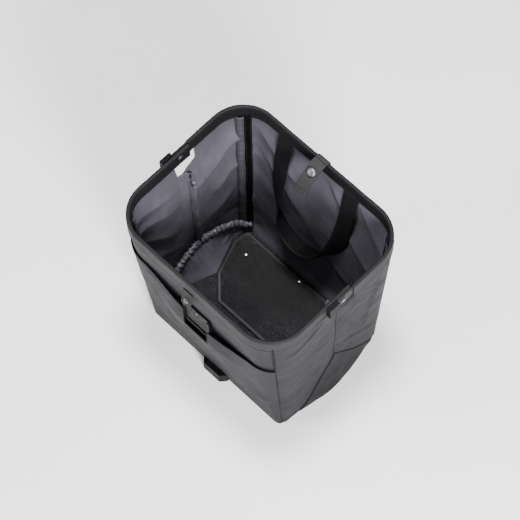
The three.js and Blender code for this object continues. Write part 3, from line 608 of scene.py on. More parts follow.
SIDE_FOLDS = {  # start, end, width and height of each, in millimetres along the wall and up it
    1: [
        ((-112, 222), (-8, 196), 7, 1.6),
        ((-104, 150), (-40, 166), 8, 1.3),
        ((-90, 70), (-22, 120), 9, 1.4),
        ((8, 300), (60, 236), 8, 1.8),
        ((4, 272), (46, 150), 9, -1.8),
        ((24, 322), (104, 246), 8, 1.6),
        ((84, 300), (62, 110), 12, 1.8),
        ((-30, 316), (-100, 286), 8, 1.4),
        ((20, 140), (88, 96), 9, -1.4),
    ],
    -1: [
        ((4, 226), (138, 286), 17, -6.5),
        ((50, 170), (120, 205), 12, -3.0),
        ((20, 110), (96, 130), 12, -2.2),
        ((-128, 296), (-34, 268), 10, -3.6),
        ((-124, 268), (-26, 222), 12, -5.0),
        ((-110, 226), (-30, 150), 12, -3.6),
        ((-96, 150), (-24, 96), 12, -2.6),
        ((30, 90), (100, 60), 8, 1.2),
    ],
}


CORNER_DROP = 4  # inside the sleeve the cloth ends lower at the corners, where the bar turns past it


def hinge_cut(y):
    """Height of a short wall's upper edge: it dips round the hinge, deepest on the rear side."""
    forward = smooth(y, 2, 26)
    depth = 36 * (1 - forward) + 30 * forward
    inside = smooth(y, -13.5, -11) * (1 - smooth(y, 28.5, 35))
    corner = CORNER_DROP * smooth(np.abs(y), 52, 72)
    return WALL_TUCK - corner - (depth + WALL_TUCK - WALL_TOP) * inside


# ---- long walls ---------------------------------------------------------------------------------
LONG_T = spaced((0, 14), (1, 84), (2, 14), (3, 0))
WALL_ROWS = spaced((0, 76), (312, 14), (WALL_TUCK, 0))


def hang_from_rim(piece):
    """Bake a long wall's cloth's placement into its points."""
    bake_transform(piece)


def shell_relief(seed, cover):
    """Hollows of a long wall's outer cloth, with puckers below the sleeve; cover is how strong they are."""
    def relief(x, y, z):
        pucker = 0.7 * np.sin(x / 5.5) * hump(z, WALL_TOP, 7) * smooth(np.abs(x), 90, 130)
        soft = ripple(x + 900, z + 500, 60, seed) * 1.0 + ripple(x + 400, z + 800, 22, seed + 1) * 0.35
        return np.maximum(cover * (soft * (1 - smooth(z, 320, 336)) + pucker) - cover * 0.3, -0.7)
    return relief


def lining_relief(end):
    """The drape, creases and turned foot of a long wall's lining."""
    def relief(x, y, z):
        calm = 1 - smooth(z, 326, 336)
        drape = ripple(x * 0.7 + 0.35 * z + 700, z + 500, 46, 21 + end) * 1.7
        small = ripple(x + 0.6 * z + 900, z + 300, 19, 25 + end) * 0.5
        belly = -2.2 * hump(z, 200, 90) * hump(x, 20, 80)
        for start, finish, width, height in LINING_FOLDS:
            drape = drape + fold(x * end, z, start, finish, width, height * 1.7)
        hem = -7.5 * (1 - smooth(z, 4, 34)) ** 1.3 * (1 - smooth(np.abs(x), 118, 140))
        wave = -1.6 * np.sin(x / 17) * hump(z, 26, 14)
        return np.clip((drape + small + belly) * calm, -6, 1.2) + hem + wave
    return relief


LINING_FOLDS = [
    ((-140, 310), (-40, 236), 9, -2.2),
    ((-120, 250), (-10, 150), 12, -2.0),
    ((20, 316), (70, 250), 9, -2.2),
    ((60, 230), (130, 150), 11, -2.4),
    ((84, 318), (140, 236), 9, -2.6),
    ((-20, 150), (90, 80), 12, -1.6),
]


def add_long_walls():
    for label, (end, rim, _) in ENDS.items():
        wall = partial(wall_grid, partial(long_station, end=end), rim)
        t, z = np.meshgrid(LONG_T, WALL_ROWS)
        cover = 0.45 if end < 0 else 1.0
        outer = wall(t, z, 0, shell_relief(31 + end, cover))
        shell = cloth(f"{label}_wall_cloth", outer, wall(t, z, LONG_SHELL_DEPTH), "shell")
        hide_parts(f"{label}_wall_shell")

        t, z = np.meshgrid(LONG_T, np.maximum(WALL_ROWS, 3 + 0.01 * WALL_ROWS))
        relief = lining_relief(end)
        inner = wall(t, z, WALL_STACK, relief)
        behind = wall(t, z, LONG_LINING_DEPTH, lambda x, y, z: np.minimum(relief(x, y, z), 0.2))
        lining = cloth(f"{label}_wall_inner_cloth", inner, behind, "lining")
        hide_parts(f"{label}_wall_lining")
        for piece in (shell, lining):
            hang_from_rim(piece)


# ---- short walls --------------------------------------------------------------------------------
SIDE_T = spaced((0, 38), (1, 16), (2, 0))


def gather(piece, quarter):
    """Attach a short wall's piece to its quarter's body, with a mesh of its own."""
    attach(piece, quarter.body)
    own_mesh(piece)


def side_grids(quarter, bottom, depths):
    """Grids of a short wall's half, from bottom to its upper edge, one for each depth."""
    t, share = np.meshgrid(SIDE_T, np.linspace(0, 1, 104))
    y = short_wall(quarter, wrinkled=False)(t, np.full_like(t, WALL_TOP), 0)[..., 1]
    z = mix(bottom, hinge_cut(y), share)
    return [short_wall(quarter)(t, z, depth) for depth in depths]


def add_short_walls():
    for quarter in QUARTERS:
        outer, behind = side_grids(quarter, 0, SIDE_SHELL_DEPTHS)
        shell = cloth(f"{quarter.name}_side_cloth", outer, behind, "shell")
        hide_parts(f"{quarter.name}_side_shell")
        behind, inner = side_grids(quarter, 2, SIDE_LINING_DEPTHS)
        lining = cloth(f"{quarter.name}_side_inner_cloth", inner, behind, "lining")
        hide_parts(f"{quarter.name}_side_lining")
        for piece in (shell, lining):
            gather(piece, quarter)
        add_side_trim(quarter)
        if quarter.end > 0:
            add_centre_flap(quarter)
        add_corner_tapes(quarter)


def add_centre_flap(quarter):
    """The seam allowance of a short wall's centre seam stands inward, crumpled, and bunches at the cut."""
    z_line = np.linspace(70, WALL_TOP - 37, 110)
    line = short_wall(quarter)(np.full((1, 110), 0.02), z_line[None], 2.6)[0]
    w = np.linspace(0, 1, 9)
    rows = []
    for point, z in zip(line, z_line):
        bunch = hump(z, 290, 15)
        reach = 11 + 2 * float(ripple(z + 50, 3.0, 17, 101)) + 10 * bunch
        curl = 4.5 * w**1.5 + 1.3 * w * math.sin(z / 7.5 + 1.2 * math.sin(z / 23))
        curl = curl + bunch * (7 * np.sin(w * 5.2) + 2.2 * w * math.sin(z / 1.7))
        offsets = [-quarter.side * reach * w, quarter.end * (curl + 0.8), -bunch * 5 * w * w]
        rows.append(point + np.stack(offsets, axis=1))
    face = np.array(rows)
    half = np.array([0, 0.45, 0])
    flap = cloth(f"{quarter.name}_centre_flap", face + half, face - half, "lining", sharp=60)
    gather(flap, quarter)


TRIANGLE_APEX_Z = 122  # the dark base panels of a short wall make a triangle
TRIANGLE_FOOT = {1: 100, -1: 70}  # half its foot, towards the front and towards the rear


def add_side_trim(quarter):
    """The dark base panel and its seam, the centre seam and the corner piping."""
    name = quarter.name
    wall = short_wall(quarter)
    foot = TRIANGLE_FOOT[quarter.end]
    cy = BASE_HALF_Y - BASE_RADIUS
    t_row = np.linspace(0, min(foot / cy, 1.0), 30)
    t, share = np.meshgrid(t_row, np.linspace(0, 1, 22))
    top = np.clip(TRIANGLE_APEX_Z * (1 - np.abs(t) * cy / foot) + 1.5, 1.5, None)
    outer, under = (wall(t, top * share, depth) for depth in (-0.75, -0.05))
    panel = cloth(f"{name}_base_panel", outer, under, "dark_shell")
    seam_top = resample(wall(t_row[None], top[:1], -0.7)[0], 3)
    panel_seam = cord(f"{name}_base_panel_seam", seam_top, 0.85, "dark_shell")

    z_line = np.linspace(TRIANGLE_APEX_Z, WALL_TOP - 38, 50)
    line = wall(np.full((1, 50), 0.004), z_line[None], -0.2)[0]
    fell = cord(f"{name}_centre_seam", line, 0.8, "shell", up=(quarter.side, 0, 0))

    z_line = np.linspace(1.5, WALL_TUCK, 70)
    line = short_wall(quarter, wrinkled=False)(np.full((1, 70), 2.0), z_line[None], -0.7)[0]
    welt = cord(f"{name}_corner_welt", line, 1.35, "piping", up=(quarter.side, quarter.end, 0))
    for piece, key in (
        (panel, "shell_fabric"), (panel_seam, "shell_fabric"), (fell, "shell_fabric"), (welt, "binding"),
    ):
        gather(piece, quarter)


def corner_strip(quarter, part, centre, half_width, depth, key, seed):
    """A strip of tape down an inner corner; centre is how far it lies towards the long wall."""
    name = f"{quarter.name}_{part}"
    side, end = quarter.side, quarter.end
    seam_t = np.array(2.0)
    base, base_normal = side_station(BASE_SIZE, seam_t, side, end)
    edge, edge_normal = side_station(quarter.rim, seam_t, side, end)
    w = np.linspace(-1, 1, 9)
    crown = 1.5 * (1 - w * w) - 0.5 * hump(np.abs(w), 0.78, 0.1)
    rows = []
    edges = [[], []]
    for height in spaced((12, 90), (WALL_TOP + 1, 0)):
        share = height / WALL_TOP
        normal = unit(mix(base_normal, edge_normal, share))
        to_long_wall = np.array([-side * abs(normal[1]), end * abs(normal[0])])
        pucker = 0.45 * math.sin(height / 2.3 + seed) + 1.1 * ripple(height + 300, 200.0 + seed, 21, 44)
        aside = centre + w * half_width + 0.8 * ripple(height + 80, 30.0 + seed, 30, 47)
        sink = aside * aside / (2 * mix(22, 95, share))
        inset = depth - sink + pucker * (1 - np.abs(w) * 0.5) + crown
        spot = mix(base, edge, share) - np.outer(inset, normal) + np.outer(aside, to_long_wall)
        row = np.column_stack([spot, np.full(9, height)])
        rows.append(row)
        for line, k in zip(edges, (1, -2)):
            line.append(row[k] - 0.6 * np.array([*normal, 0]))
    face = np.array(rows)
    inward = np.array([*(-base_normal), 0])
    tape = cloth(name, face + inward * 0.5, face - inward * 0.5, key)
    normals = np.tile(inward, (len(face), 1))
    return [tape] + [
        stitches(f"{name}_stitches_{k}", line, normals, pitch=3.6) for k, line in enumerate(edges)
    ]


def add_corner_tapes(quarter):
    tape = corner_strip(quarter, "corner_tape", -6.0, 6.0, 8.2, "binding", 1.0)
    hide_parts(f"{quarter.name}_corner_binding")
    band = corner_strip(quarter, "corner_band", 6.8, 5.4, 7.8, "piping", 4.0)
    for piece in tape + band:
        gather(piece, quarter)


# ---- the floor's ends: gathered channel and gusset ----------------------------------------------
def floor_point(end, x, s, n):
    """s runs from the wall to the crease and n is the height above the board."""
    run = s * math.cos(FLOOR_TILT) - n * math.sin(FLOOR_TILT)
    rise = s * math.sin(FLOOR_TILT) + n * math.cos(FLOOR_TILT)
    return np.array([x, end * (FLOOR_PIVOT_Y - run), FLOOR_PIVOT_Z + rise])


FLOOR_OUTLINE = [(3, 126), (13, 137), (40, 138), (FLOOR_HALF, 108)]  # s, half width


def floor_half_width(s):
    return np.interp(s, *zip(*FLOOR_OUTLINE))


CHANNEL_RADIUS = 6.6
CHANNEL_LENGTH = 110


def channel_point(t, side, end):
    """Where the gathered channel runs over the foot of a short wall and into its corner."""
    y = np.interp(t, [0, 0.84, 1], [-0.4, 88, 101])
    z = mix(78, 27, np.clip(t / 0.9, 0, 1) ** 1.6)
    wall_x = mix(BASE_HALF_X, CENTRE_X, z / WALL_TOP) + float(side_relief(side, end * y, z))
    pinch = np.interp(t, [0.78, 0.9, 1], [0, 5, 13])
    return np.array([side * (wall_x - 3.2 - CHANNEL_RADIUS - pinch), end * y, z])


def gusset_foot(t, side, end):
    """The gusset's lower edge: down the sloping end of the floor board and round its corner."""
    s = np.interp(t, [0, 0.62, 0.84, 1], [FLOOR_HALF + 1.5, 40, 13, 4])
    return floor_point(end, side * (floor_half_width(s) - 1.5), s, 0.9)


def gathered_channel(name, side, end):
    """A tube of elastic cloth, ruffled round and along."""
    steps = np.linspace(0, 1, 260)
    path = np.array([channel_point(t, side, end) for t in steps])
    run = steps * CHANNEL_LENGTH
    ruffles = 0.9 + 0.1 * np.sin(run / 1.15 + 1.4 * np.sin(run / 5.2) + side)
    angles = np.arange(14) * 2 * math.pi / 14
    rings = []
    for point, s, ruffle, aside, top in zip(path, run, ruffles, *frames_along(path, (0, 0, 1))):
        lump = 0.16 * ripple(angles * 3 + s * 0.55 + 40, angles * 2 + 9, 1.7, 51 + end)
        radius = CHANNEL_RADIUS * (ruffle + lump + 0.1 * np.sin(angles * 3 + s * 0.7))
        radius = radius * (1 - 0.25 * smooth(s, 92, CHANNEL_LENGTH))
        offsets = np.outer(np.cos(angles) * radius * 0.8, aside)
        rings.append(point + offsets + np.outer(np.sin(angles) * radius * 1.15, top))
    return lofted(f"{name}_gathered_channel", rings, "lining", sharp=80)


def floor_gusset(name, side, end):
    """The slack cloth between a channel and the end of its floor board, pleated along the channel."""
    grid = []
    for share in np.linspace(0, 1, 40):
        row = []
        for v in np.linspace(0, 1, 76):
            start = channel_point(v, side, end) - (side * CHANNEL_RADIUS * 0.5, 0, CHANNEL_RADIUS * 0.8)
            point = mix(start, gusset_foot(v, side, end), share)
            pleat = 1.5 * math.sin(v * 74 + 2 * math.sin(v * 19)) * (1 - share) ** 2.5
            crease = 3.4 * abs(math.sin(v * 6.1 + 0.5 + 0.35 * share)) - 2
            sag = crease - 3 + 1.5 * float(ripple(v * 60 + 5, share * 50 + 5, 12, 61))
            rise = pleat + sag * math.sin(math.pi * share)
            row.append(point + np.array([-side * 0.5, 0, 1]) * rise)
        grid.append(row)
    upper = np.array(grid)
    return cloth(f"{name}_floor_gusset_cloth", upper, upper - (0, 0, 0.8), "lining", sharp=60)


def add_floor_ends():
    for quarter in QUARTERS:
        name, label, side, end = quarter[:4]
        channel = gathered_channel(name, side, end)
        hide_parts(f"{name}_elastic_channel")
        gusset = floor_gusset(name, side, end)
        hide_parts(f"{name}_floor_gusset")
        for piece in (channel, gusset):
            gather(piece, quarter)


# ---- the rim: sleeves over the bars -------------------------------------------------------------
def rim_path(arm_x, end, arm_end):
    """The bar's centre line in plan from one arm's end round to the other's, with its outward normals."""
    cx, cy, r = arm_x - BEND_RADIUS, BAR_AXIS_Y - BEND_RADIUS, BEND_RADIUS
    arm = np.arange(arm_end, cy, 3.0)
    bend = np.radians(np.linspace(0, 90, 30))
    half = [(arm_x, y, 1, 0) for y in arm]
    half += [(cx + r * math.cos(a), cy + r * math.sin(a), math.cos(a), math.sin(a)) for a in bend]
    along = [(x, BAR_AXIS_Y, 0, 1) for x in np.linspace(cx, -cx, 80)[1:-1]]
    other_half = [(-x, y, -normal_x, normal_y) for x, y, normal_x, normal_y in half[::-1]]
    data = np.array(half + along + other_half) * (1, end, 1, end)
    return data[:, :2], data[:, 2:]


CROWN_HEIGHT = 3.4
HEM_HEIGHT = 3.6  # of the stitched row, above the sleeve's sewn edge


def sleeve_section(foot, top):
    """A sleeve's section over its bar: outside, crown, inside and the slot that takes the bar."""
    h = SLEEVE_HALF
    arch = np.radians(np.linspace(0, 180, 13))
    crown = [(h * math.cos(a), top - CROWN_HEIGHT + CROWN_HEIGHT * math.sin(a)) for a in arch]
    hem = [(-0.25, 0), (0.1, 0.8), (0, 2.8), (-0.45, HEM_HEIGHT), (-0.1, 4.6), (0, 9), (0, 15), (0, 20)]
    outside = [(h + a, foot + b) for a, b in hem]
    inside = [(-a, z) for a, z in outside]
    slot_foot, slot_top = foot + 0.2, top - 2.4
    slot = [(-2.2, slot_foot), (-1.9, slot_top), (1.9, slot_top), (2.2, slot_foot)]
    return np.array(outside + crown + inside[::-1] + slot).T


def add_sleeve(label, arm_x):
    end = ENDS[label][0]
    low, high = node_mm(f"{label}_frame_sleeve")
    arm_end = (low[1] if end > 0 else -high[1]) - PLAN_SHIFT * end
    plan, normal = rim_path(arm_x, end, arm_end)
    foot, top = SLEEVE_FOOT - SLEEVE_DROP, RIM_TOP
    across, z = sleeve_section(foot, top)
    rings = []
    for (x, y), (nx, ny), s in zip(plan, normal, distances(plan)):
        swell = 0.16 * ripple(s + 20, z + end * 40 + 200, 11, 71)
        swell = swell + 0.12 * np.sin(s / 1.9) * hump(z, foot + 4, 4)
        sag = 0.35 * ripple(s + 50, 4, 26, 73) * smooth(z, top - 9, top)
        reach = across + np.sign(across) * swell * (np.abs(across) > 2.5)
        rings.append(np.stack([x + nx * reach, y + ny * reach, z + sag - 0.3], axis=1))
    sleeve = lofted(f"{label}_rim_sleeve", rings, "sleeve", sharp=60)
    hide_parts(f"{label}_frame_sleeve")
    pieces = [sleeve]
    height = np.full(len(plan), foot + HEM_HEIGHT)
    for face, where in ((1, "out"), (-1, "in")):
        path = np.column_stack([plan + normal * face * (SLEEVE_HALF - 0.35), height])
        normals = np.column_stack([normal * face, np.zeros(len(plan))])
        pieces.append(stitches(f"{label}_sleeve_stitches_{where}", path, normals))
    for piece in pieces:
        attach(piece, f"{label}_frame")


# ---- the rear pocket ----------------------------------------------------------------------------
POCKET_FOLDS = [
    ((-112, 168), (-86, 126), 8, 2.6),
    ((-86, 126), (-61, 95), 8, 2.4),
    ((-61, 95), (-43, 42), 8, 2.6),
    ((-43, 42), (54, 48), 6, 2.2),
    ((81, 51), (140, 113), 8, 2.8),
    ((-21, 71), (23, 45), 7, -1.8),
    ((-120, 262), (-50, 232), 9, 1.8),
    ((60, 240), (128, 262), 9, 1.6),
    ((-20, 200), (40, 130), 14, -1.4),
]


def pocket_off(x, z):
    """How far the pocket panel hangs off the rear wall."""
    span = np.where(x > POCKET_CENTRE_X, 82, 84)
    across = np.cos(np.pi / 2 * np.clip((np.abs(x - POCKET_CENTRE_X) - 36) / span, 0, 1)) ** 2
    gape = across * np.interp(z, POCKET_HEIGHTS, POCKET_GAPES)
    wrinkle = sum(fold(x, z, *crease_line) for crease_line in POCKET_FOLDS)
    soft = ripple(x + 800, z + 300, 48, 81) * 1.5 + ripple(x + 0.4 * z + 800, z + 700, 17, 83) * 0.45
    free = smooth(z, 4, 24) * (1 - smooth(np.abs(x), 128, 146))
    return gape + 1.6 + (np.clip(wrinkle, 0, None) + soft * 0.5 + 0.5) * free


def pocket_top(x):
    """Height of the pocket's upper edge, with its notch."""
    start, finish = (
        smooth(x, side - POCKET_NOTCH_ROUND, side + POCKET_NOTCH_ROUND) for side in POCKET_NOTCH_SIDES
    )
    inside = start * (1 - finish)
    return mix(np.interp(x, POCKET_EDGE_X, POCKET_EDGE_Z), POCKET_NOTCH_BOTTOM, inside)


def add_pocket():
    wall = partial(wall_grid, partial(long_station, end=-1), REAR_RIM)
    cx = BASE_HALF_X - BASE_RADIUS
    left, right = (1 + (cx - x) / (2 * cx) for x in POCKET_NOTCH_SIDES)
    t_row = spaced(
        (0, 10), (1, 14), (right - 0.03, 22), (right + 0.03, 18), (left - 0.03, 22), (left + 0.03, 14),
        (2, 10), (3, 0),
    )
    rows = spaced((0, 56), (0.93, 16), (1, 0))
    t, share = np.meshgrid(t_row, rows)
    straight_x = mix(cx, -cx, np.clip(t - 1, 0, 1)) * 1.14
    z = pocket_top(straight_x) * share
    hem = 0.75 * smooth(share, 0.955, 0.963)
    outer = wall(t, z, -1.2, lambda x, y, z: pocket_off(x, z) + hem)
    inner = wall(t, z, 0, lambda x, y, z: pocket_off(x, z))
    panel = cloth("pocket_cloth", outer, inner, "shell")
    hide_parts("rear_pocket_panel")
    line = outer[np.argmin(np.abs(rows - 0.966)), 12:-12]
    normals = np.tile((0.0, -math.cos(LEAN), -math.sin(LEAN)), (len(line), 1))
    for piece in (panel, stitches("pocket_hem_stitches", line, normals)):
        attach(piece, "root")


# ---- the floor ----------------------------------------------------------------------------------
def floor_grid(end, n, relief=None):
    """Points over a floor half at a height above its board."""
    grid = []
    for s in spaced((3, 10), (13, 14), (40, 24), (FLOOR_HALF, 0)):
        row = []
        for x in np.linspace(-1, 1, 34) * floor_half_width(s):
            lift = relief(x, s) if relief else 0.0
            row.append(floor_point(end, x, s, n + lift))
        grid.append(row)
    return np.array(grid)


def add_floor():
    sag = lambda x, s: 0.5 * float(ripple(x + 500, s + 300, 24, 91)) - 0.4
    for label, (end, _, _) in ENDS.items():
        board = cloth(f"{label}_floor_half", floor_grid(end, -0.2), floor_grid(end, -2.7), "smooth_board")
        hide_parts(f"{label}_floor_board")
        base = cloth(f"{label}_base_cloth", floor_grid(end, -3.0), floor_grid(end, -4.2, sag), "dark_shell")
        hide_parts(f"{label}_base_fabric")
        for piece in (board, base):
            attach(piece, f"{label}_floor")


LAP_LENGTH = 36
RIVETED_OUTLINE = [
    (10, 124), (12, 128), (16, 131), (40, 132), (FLOOR_HALF + 1, 105),
    (FLOOR_HALF + LAP_LENGTH - 3, 73), (FLOOR_HALF + LAP_LENGTH, 71),
]  # run, half width


def riveted_point(run, x, n):
    """A point of the bent board: run is measured from the front edge, over the crease and down."""
    crease = (FLOOR_PIVOT_Y + n * math.sin(FLOOR_TILT)) / math.cos(FLOOR_TILT)
    end, s = (1, run) if run <= crease else (-1, 2 * crease - run)
    return floor_point(end, x, s, n) - (0, 0, 1.1 * hump(run, crease, 7))


def add_riveted_board():
    runs = spaced((10, 8), (16, 12), (40, 28), (98, 20), (114, 14), (FLOOR_HALF + LAP_LENGTH, 0))
    half_widths = np.interp(runs, *zip(*RIVETED_OUTLINE))
    shares = np.linspace(-1, 1, 44)
    face = lambda n: np.array([[riveted_point(run, x, n) for x in shares * half]
                               for run, half in zip(runs, half_widths)])
    board = cloth("riveted_board_skin", face(2.3), face(0.1), "board")
    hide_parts("riveted_board")

    inset = 3.4
    right = list(zip(runs, half_widths - inset))
    right[0] = (runs[0] + inset, right[0][1])
    right[-1] = (runs[-1] - inset, right[-1][1])
    far = [(right[-1][0], x) for x in np.linspace(right[-1][1], -right[-1][1], 24)[1:-1]]
    near = [(right[0][0], x) for x in np.linspace(-right[0][1], right[0][1], 40)[1:-1]]
    outline = right + far + [(run, -x) for run, x in right[::-1]] + near
    middle = np.array([riveted_point(run, x, 1.35) for run, x in outline])
    tangent = unit(np.roll(middle, -1, axis=0) - np.roll(middle, 1, axis=0))
    side = unit(np.cross(tangent, (0, 0, 1.0)))
    angles = np.radians(np.arange(0, 360, 30))
    across = np.sign(np.cos(angles)) * np.abs(np.cos(angles)) ** 0.5 * inset
    rings = [point + np.outer(across, aside) + np.outer(np.sin(angles) * 1.5, top)
             for point, aside, top in zip(middle, side, np.cross(side, tangent))]
    edge = lofted("riveted_board_edge", rings, "board_edge", closed=True, sharp=50)
    for piece in (board, edge):
        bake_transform(piece)


# ---- webbing ------------------------------------------------------------------------------------
def ribbon(name, path, width_way, width, thickness, key):
    """Flat webbing along a path: width_way gives the direction of its width, or one at each point."""
    path = np.array(path, float)
    tangent = unit(np.gradient(path, axis=0))
    way = np.broadcast_to(np.array(width_way, float), path.shape)
    way = unit(way - tangent * np.sum(way * tangent, axis=1)[:, None])
    w, h = width / 2, thickness / 2
    half = [(w * s, h) for s in np.linspace(-0.96, 0.96, 9)]
    section = np.array(half + [(w, 0)] + [(a, -b) for a, b in half[::-1]] + [(-w, 0)])
    rings = [point + np.outer(section[:, 0], aside) + np.outer(section[:, 1], face)
             for point, aside, face in zip(path, way, np.cross(tangent, way))]
    return lofted(name, rings, key, sharp=60)


def wall_point(end, x, z, inward):
    """A point standing inward of a long wall's lining, from its height up the wall's face."""
    depth = WALL_STACK + inward
    y = BASE_HALF_Y + z * math.sin(LEAN) - depth * math.cos(LEAN)
    return np.array([x, end * y, z * math.cos(LEAN) + depth * math.sin(LEAN)])


REAR_HANDLE = [
    (67, 335, 1.4, 0), (68, 300, 4.4, 0), (68, 250, 6.2, 4), (66, 205, 7.5, 14), (60, 160, 11, 38),
    (44, 124, 15.5, 62), (16, 106, 17.4, 74),
]
HANDLES = {  # x, height up the wall, distance off its lining, and turn in degrees
    "front": [
        (-76, 335, 1.4, 0), (-77, 305, 4.2, 0), (-78, 262, 6.0, 4), (-78, 222, 7.0, 12), (-76, 180, 10, 30),
        (-66, 142, 14.5, 55), (-44, 116, 17, 72), (-12, 106, 17.6, 76), (22, 124, 16.6, 68),
        (43, 158, 13, 48), (54, 200, 8.5, 22), (58, 246, 6.2, 6), (60, 300, 4.5, 0), (60, 335, 1.4, 0),
    ],
    "rear": [(-x, *rest) for x, *rest in REAR_HANDLE] + REAR_HANDLE[::-1],
}
HANDLE_WIDTH = 30
HANDLE_THICKNESS = 1.9
WEBBING_THICKNESS = 1.8


def add_handle(label):
    end = ENDS[label][0]
    knots = resample(HANDLES[label], 3)
    foot = wall_point(end, 0, 0, 0)
    inward = wall_point(end, 0, 0, 1) - foot
    rise = wall_point(end, 0, 1, 0) - foot
    path, way = [], []
    for (x, z, off, turn), (tx, tz) in zip(knots, unit(np.gradient(knots[:, :2], axis=0))):
        path.append(wall_point(end, x, z, off))
        in_plane = np.array([-tz, 0, 0]) + rise * tx
        angle = math.radians(turn)
        way.append(in_plane * math.cos(angle) + inward * math.sin(angle))
    handle = ribbon(f"{label}_handle_webbing", path, way, HANDLE_WIDTH, HANDLE_THICKNESS, "webbing")
    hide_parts(f"{label}_handle")
    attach(handle, f"{label}_loop")
    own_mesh(handle)


def flat_strap(name, route, width, key):
    """Webbing that lies flat across the basket along a route of y and z."""
    path = resample([(STRAP_CENTRE_X, y, z) for y, z in route], 1.5)
    return path, ribbon(name, path, (1, 0, 0), width, WEBBING_THICKNESS, key)


STRAP_WIDTH = 24
STRAP_ROOT_Y = 136
STRAP_Z = RIM_TOP + 1.2  # the strap's middle plane, where it leaves the rim
STRAP_DRAPE = [(0, 0), (10, -2), (29, -14.2), (34, -18.5), (42, -27.5), (49, -38)]
TAB_DRAPE = [(0, 0), (1, -8), (3, -18), (5.5, -28), (7, -35)]
CAP_RUN, CAP_DROP = 20.2, 7.6  # the cap's place along the strap
CAP_SLOPE = math.atan2(12.2, 19)
CAP_PROFILE = [  # height, radius
    (0.0, 7.9), (0.5, 8.15), (1.2, 8.15), (1.8, 7.5), (2.8, 7.0), (3.6, 5.9), (4.1, 4.2), (4.35, 2.2),
    (4.4, 0.2),
]


def snap_cap():
    """A snap's domed cap, lying on the slope of the closure strap."""
    out = np.array([0, -math.sin(CAP_SLOPE), math.cos(CAP_SLOPE)])
    down = np.array([0, -math.cos(CAP_SLOPE), -math.sin(CAP_SLOPE)])
    base = np.array([STRAP_CENTRE_X, STRAP_ROOT_Y - CAP_RUN, STRAP_Z - CAP_DROP]) + out * 0.6
    turn = circle(1, 28)
    disc = np.outer(turn[:, 0], (1, 0, 0)) + np.outer(turn[:, 1], down)
    rings = [base + out * height + disc * radius for height, radius in CAP_PROFILE]
    return lofted("snap_cap_dome", rings, "gunmetal", sharp=50)


def add_straps():
    drape = [(STRAP_ROOT_Y - run, STRAP_Z + drop) for run, drop in STRAP_DRAPE]
    path, strap = flat_strap("closure_webbing", drape, STRAP_WIDTH, "strap")
    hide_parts("closure_strap")
    tail = path[-9:] + (0, -0.9, 1.1)
    hem = ribbon("closure_webbing_hem", tail, (1, 0, 0), STRAP_WIDTH - 0.4, 1.2, "strap")
    cap = snap_cap()
    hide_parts("snap_cap")
    for piece, key in ((strap, "webbing"), (hem, "webbing"), (cap, "dark_metal")):
        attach(piece, "strap")
        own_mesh(piece)

    out = BAR_AXIS_Y + SLEEVE_HALF + 1.2
    route = [(out, 338), (out, 350), (out, 358.5), (out - 0.9, 362), (out - 3.2, STRAP_Z)]
    route.append((STRAP_ROOT_Y + 0.7, STRAP_Z))
    _, anchor = flat_strap("strap_anchor_webbing", route, STRAP_WIDTH, "strap")
    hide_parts("strap_anchor")
    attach(anchor, "front_frame")

    hinge_y = -(RIM_HALF_Y + 1.5)
    route = [(hinge_y - run, WALL_TOP - 0.3 + drop) for run, drop in TAB_DRAPE]
    _, tab = flat_strap("snap_tab_webbing", route, 20, "tab")
    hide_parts("snap_tab")
    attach(tab, "tab")


# ---- pieces carried over from the frame ---------------------------------------------------------
CARRIED = {  # material, radius of the softened edges, pieces
    "steel": (0.5, ["rear_frame_bar", "front_frame_bar"]),
    "plastic": (1.1, [
        "arm_end_cap_left", "arm_end_cap_right", "hinge_washer_left", "hinge_washer_right",
        "handlebar_plate", "lower_spacer",
    ]),
    "bright": (0.25, [
        "plate_screw_lower", "plate_screw_upper",
        "floor_rivet_left", "floor_rivet_middle", "floor_rivet_right",
    ]),
    "gunmetal": (0.3, ["hinge_pin_left", "hinge_pin_right", "snap_stud"]),
    "stiffener": (0.3, ["rear_wall_board", "front_wall_board"]),
}


def dress_carried_pieces():
    for key, (radius, names) in CARRIED.items():
        for name in names:
            piece = bpy.data.objects[name]
            material_of(piece, key)
            bevel = piece.modifiers.new("soft edges", "BEVEL")
            bevel.width = radius * MM
            bevel.segments = 3
            bevel.limit_method = "ANGLE"
            bevel.angle_limit = math.radians(40)


# ---- light, floor and camera --------------------------------------------------------------------
def add_light(name, place, size, power):
    """A round lamp that faces the basket."""
    data = bpy.data.lights.new(name, "AREA")
    data.shape = "DISK"
    data.size = size
    data.energy = power
    light = bpy.data.objects.new(name, data)
    bpy.context.scene.collection.objects.link(light)
    light.location = place
    aim = Vector((0, 0, 0.15)) - light.location
    light.rotation_euler = aim.to_track_quat("-Z", "Y").to_euler()


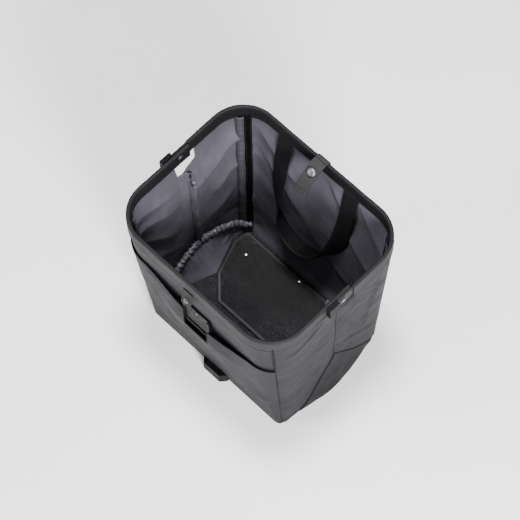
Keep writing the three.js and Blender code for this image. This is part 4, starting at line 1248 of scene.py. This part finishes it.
def add_stage():
    mesh = bpy.data.meshes.new("studio floor")
    reach = 6.0
    corners = [(x * reach, y * reach, 0) for x, y in ((-1, -1), (1, -1), (1, 1), (-1, 1))]
    mesh.from_pydata(corners, [], [(0, 1, 2, 3)])
    floor = bpy.data.objects.new("studio floor", mesh)
    bpy.context.scene.collection.objects.link(floor)
    n = Nodes("paper")
    shade = n.ramp(n.noise(n.where("Object"), 3, 2), (0.3, 0.84), (0.7, 0.87))
    floor.data.materials.append(n.finish(shade, 0.9))
    add_light("key", (2.2, -1.0, 1.6), 0.9, 190)
    add_light("fill", (-1.6, -2.2, 1.9), 1.4, 58)
    add_light("top", (-0.1, 0.15, 3.0), 0.6, 135)
    world = bpy.data.worlds.new("soft white")
    world.use_nodes = True
    background = world.node_tree.nodes["Background"]
    background.inputs["Color"].default_value = (1, 1, 1, 1)
    background.inputs["Strength"].default_value = 0.4
    bpy.context.scene.world = world


def add_camera():
    """A long lens from high in front of the near right corner of the basket."""
    azimuth, elevation, roll = (math.radians(a) for a in (47.8, 64.59, -3.41))
    distance = 3.41931
    lens, sensor = 160.9, 36.0
    off_centre = (-0.0036, 0.0734)  # of the rim's middle, to the right and up, in picture widths
    flat = math.cos(elevation)
    back = Vector((math.sin(azimuth) * flat, -math.cos(azimuth) * flat, math.sin(elevation)))
    right = Vector((math.cos(azimuth), math.sin(azimuth), 0))
    up = back.cross(right)
    turned_right = right * math.cos(roll) + up * math.sin(roll)
    turned_up = up * math.cos(roll) - right * math.sin(roll)
    aside = turned_right * off_centre[0] + turned_up * off_centre[1]
    rim_middle = Vector((0, PLAN_SHIFT, RIM_TOP)) * MM
    place = rim_middle + back * distance - aside * (distance * sensor / lens)
    data = bpy.data.cameras.new("view")
    data.lens = lens
    data.sensor_width = sensor
    data.clip_end = 20
    camera = bpy.data.objects.new("view", data)
    bpy.context.scene.collection.objects.link(camera)
    axes = np.column_stack([turned_right, turned_up, back, place])
    camera.matrix_world = Matrix(axes.tolist() + [[0, 0, 0, 1]])
    bpy.context.scene.camera = camera


add_long_walls()
add_short_walls()
add_floor_ends()
add_sleeve("rear", REAR_ARM_X)
add_sleeve("front", FRONT_ARM_X)
add_pocket()
add_floor()
add_riveted_board()
add_handle("front")
add_handle("rear")
add_straps()
dress_carried_pieces()
add_stage()
add_camera()
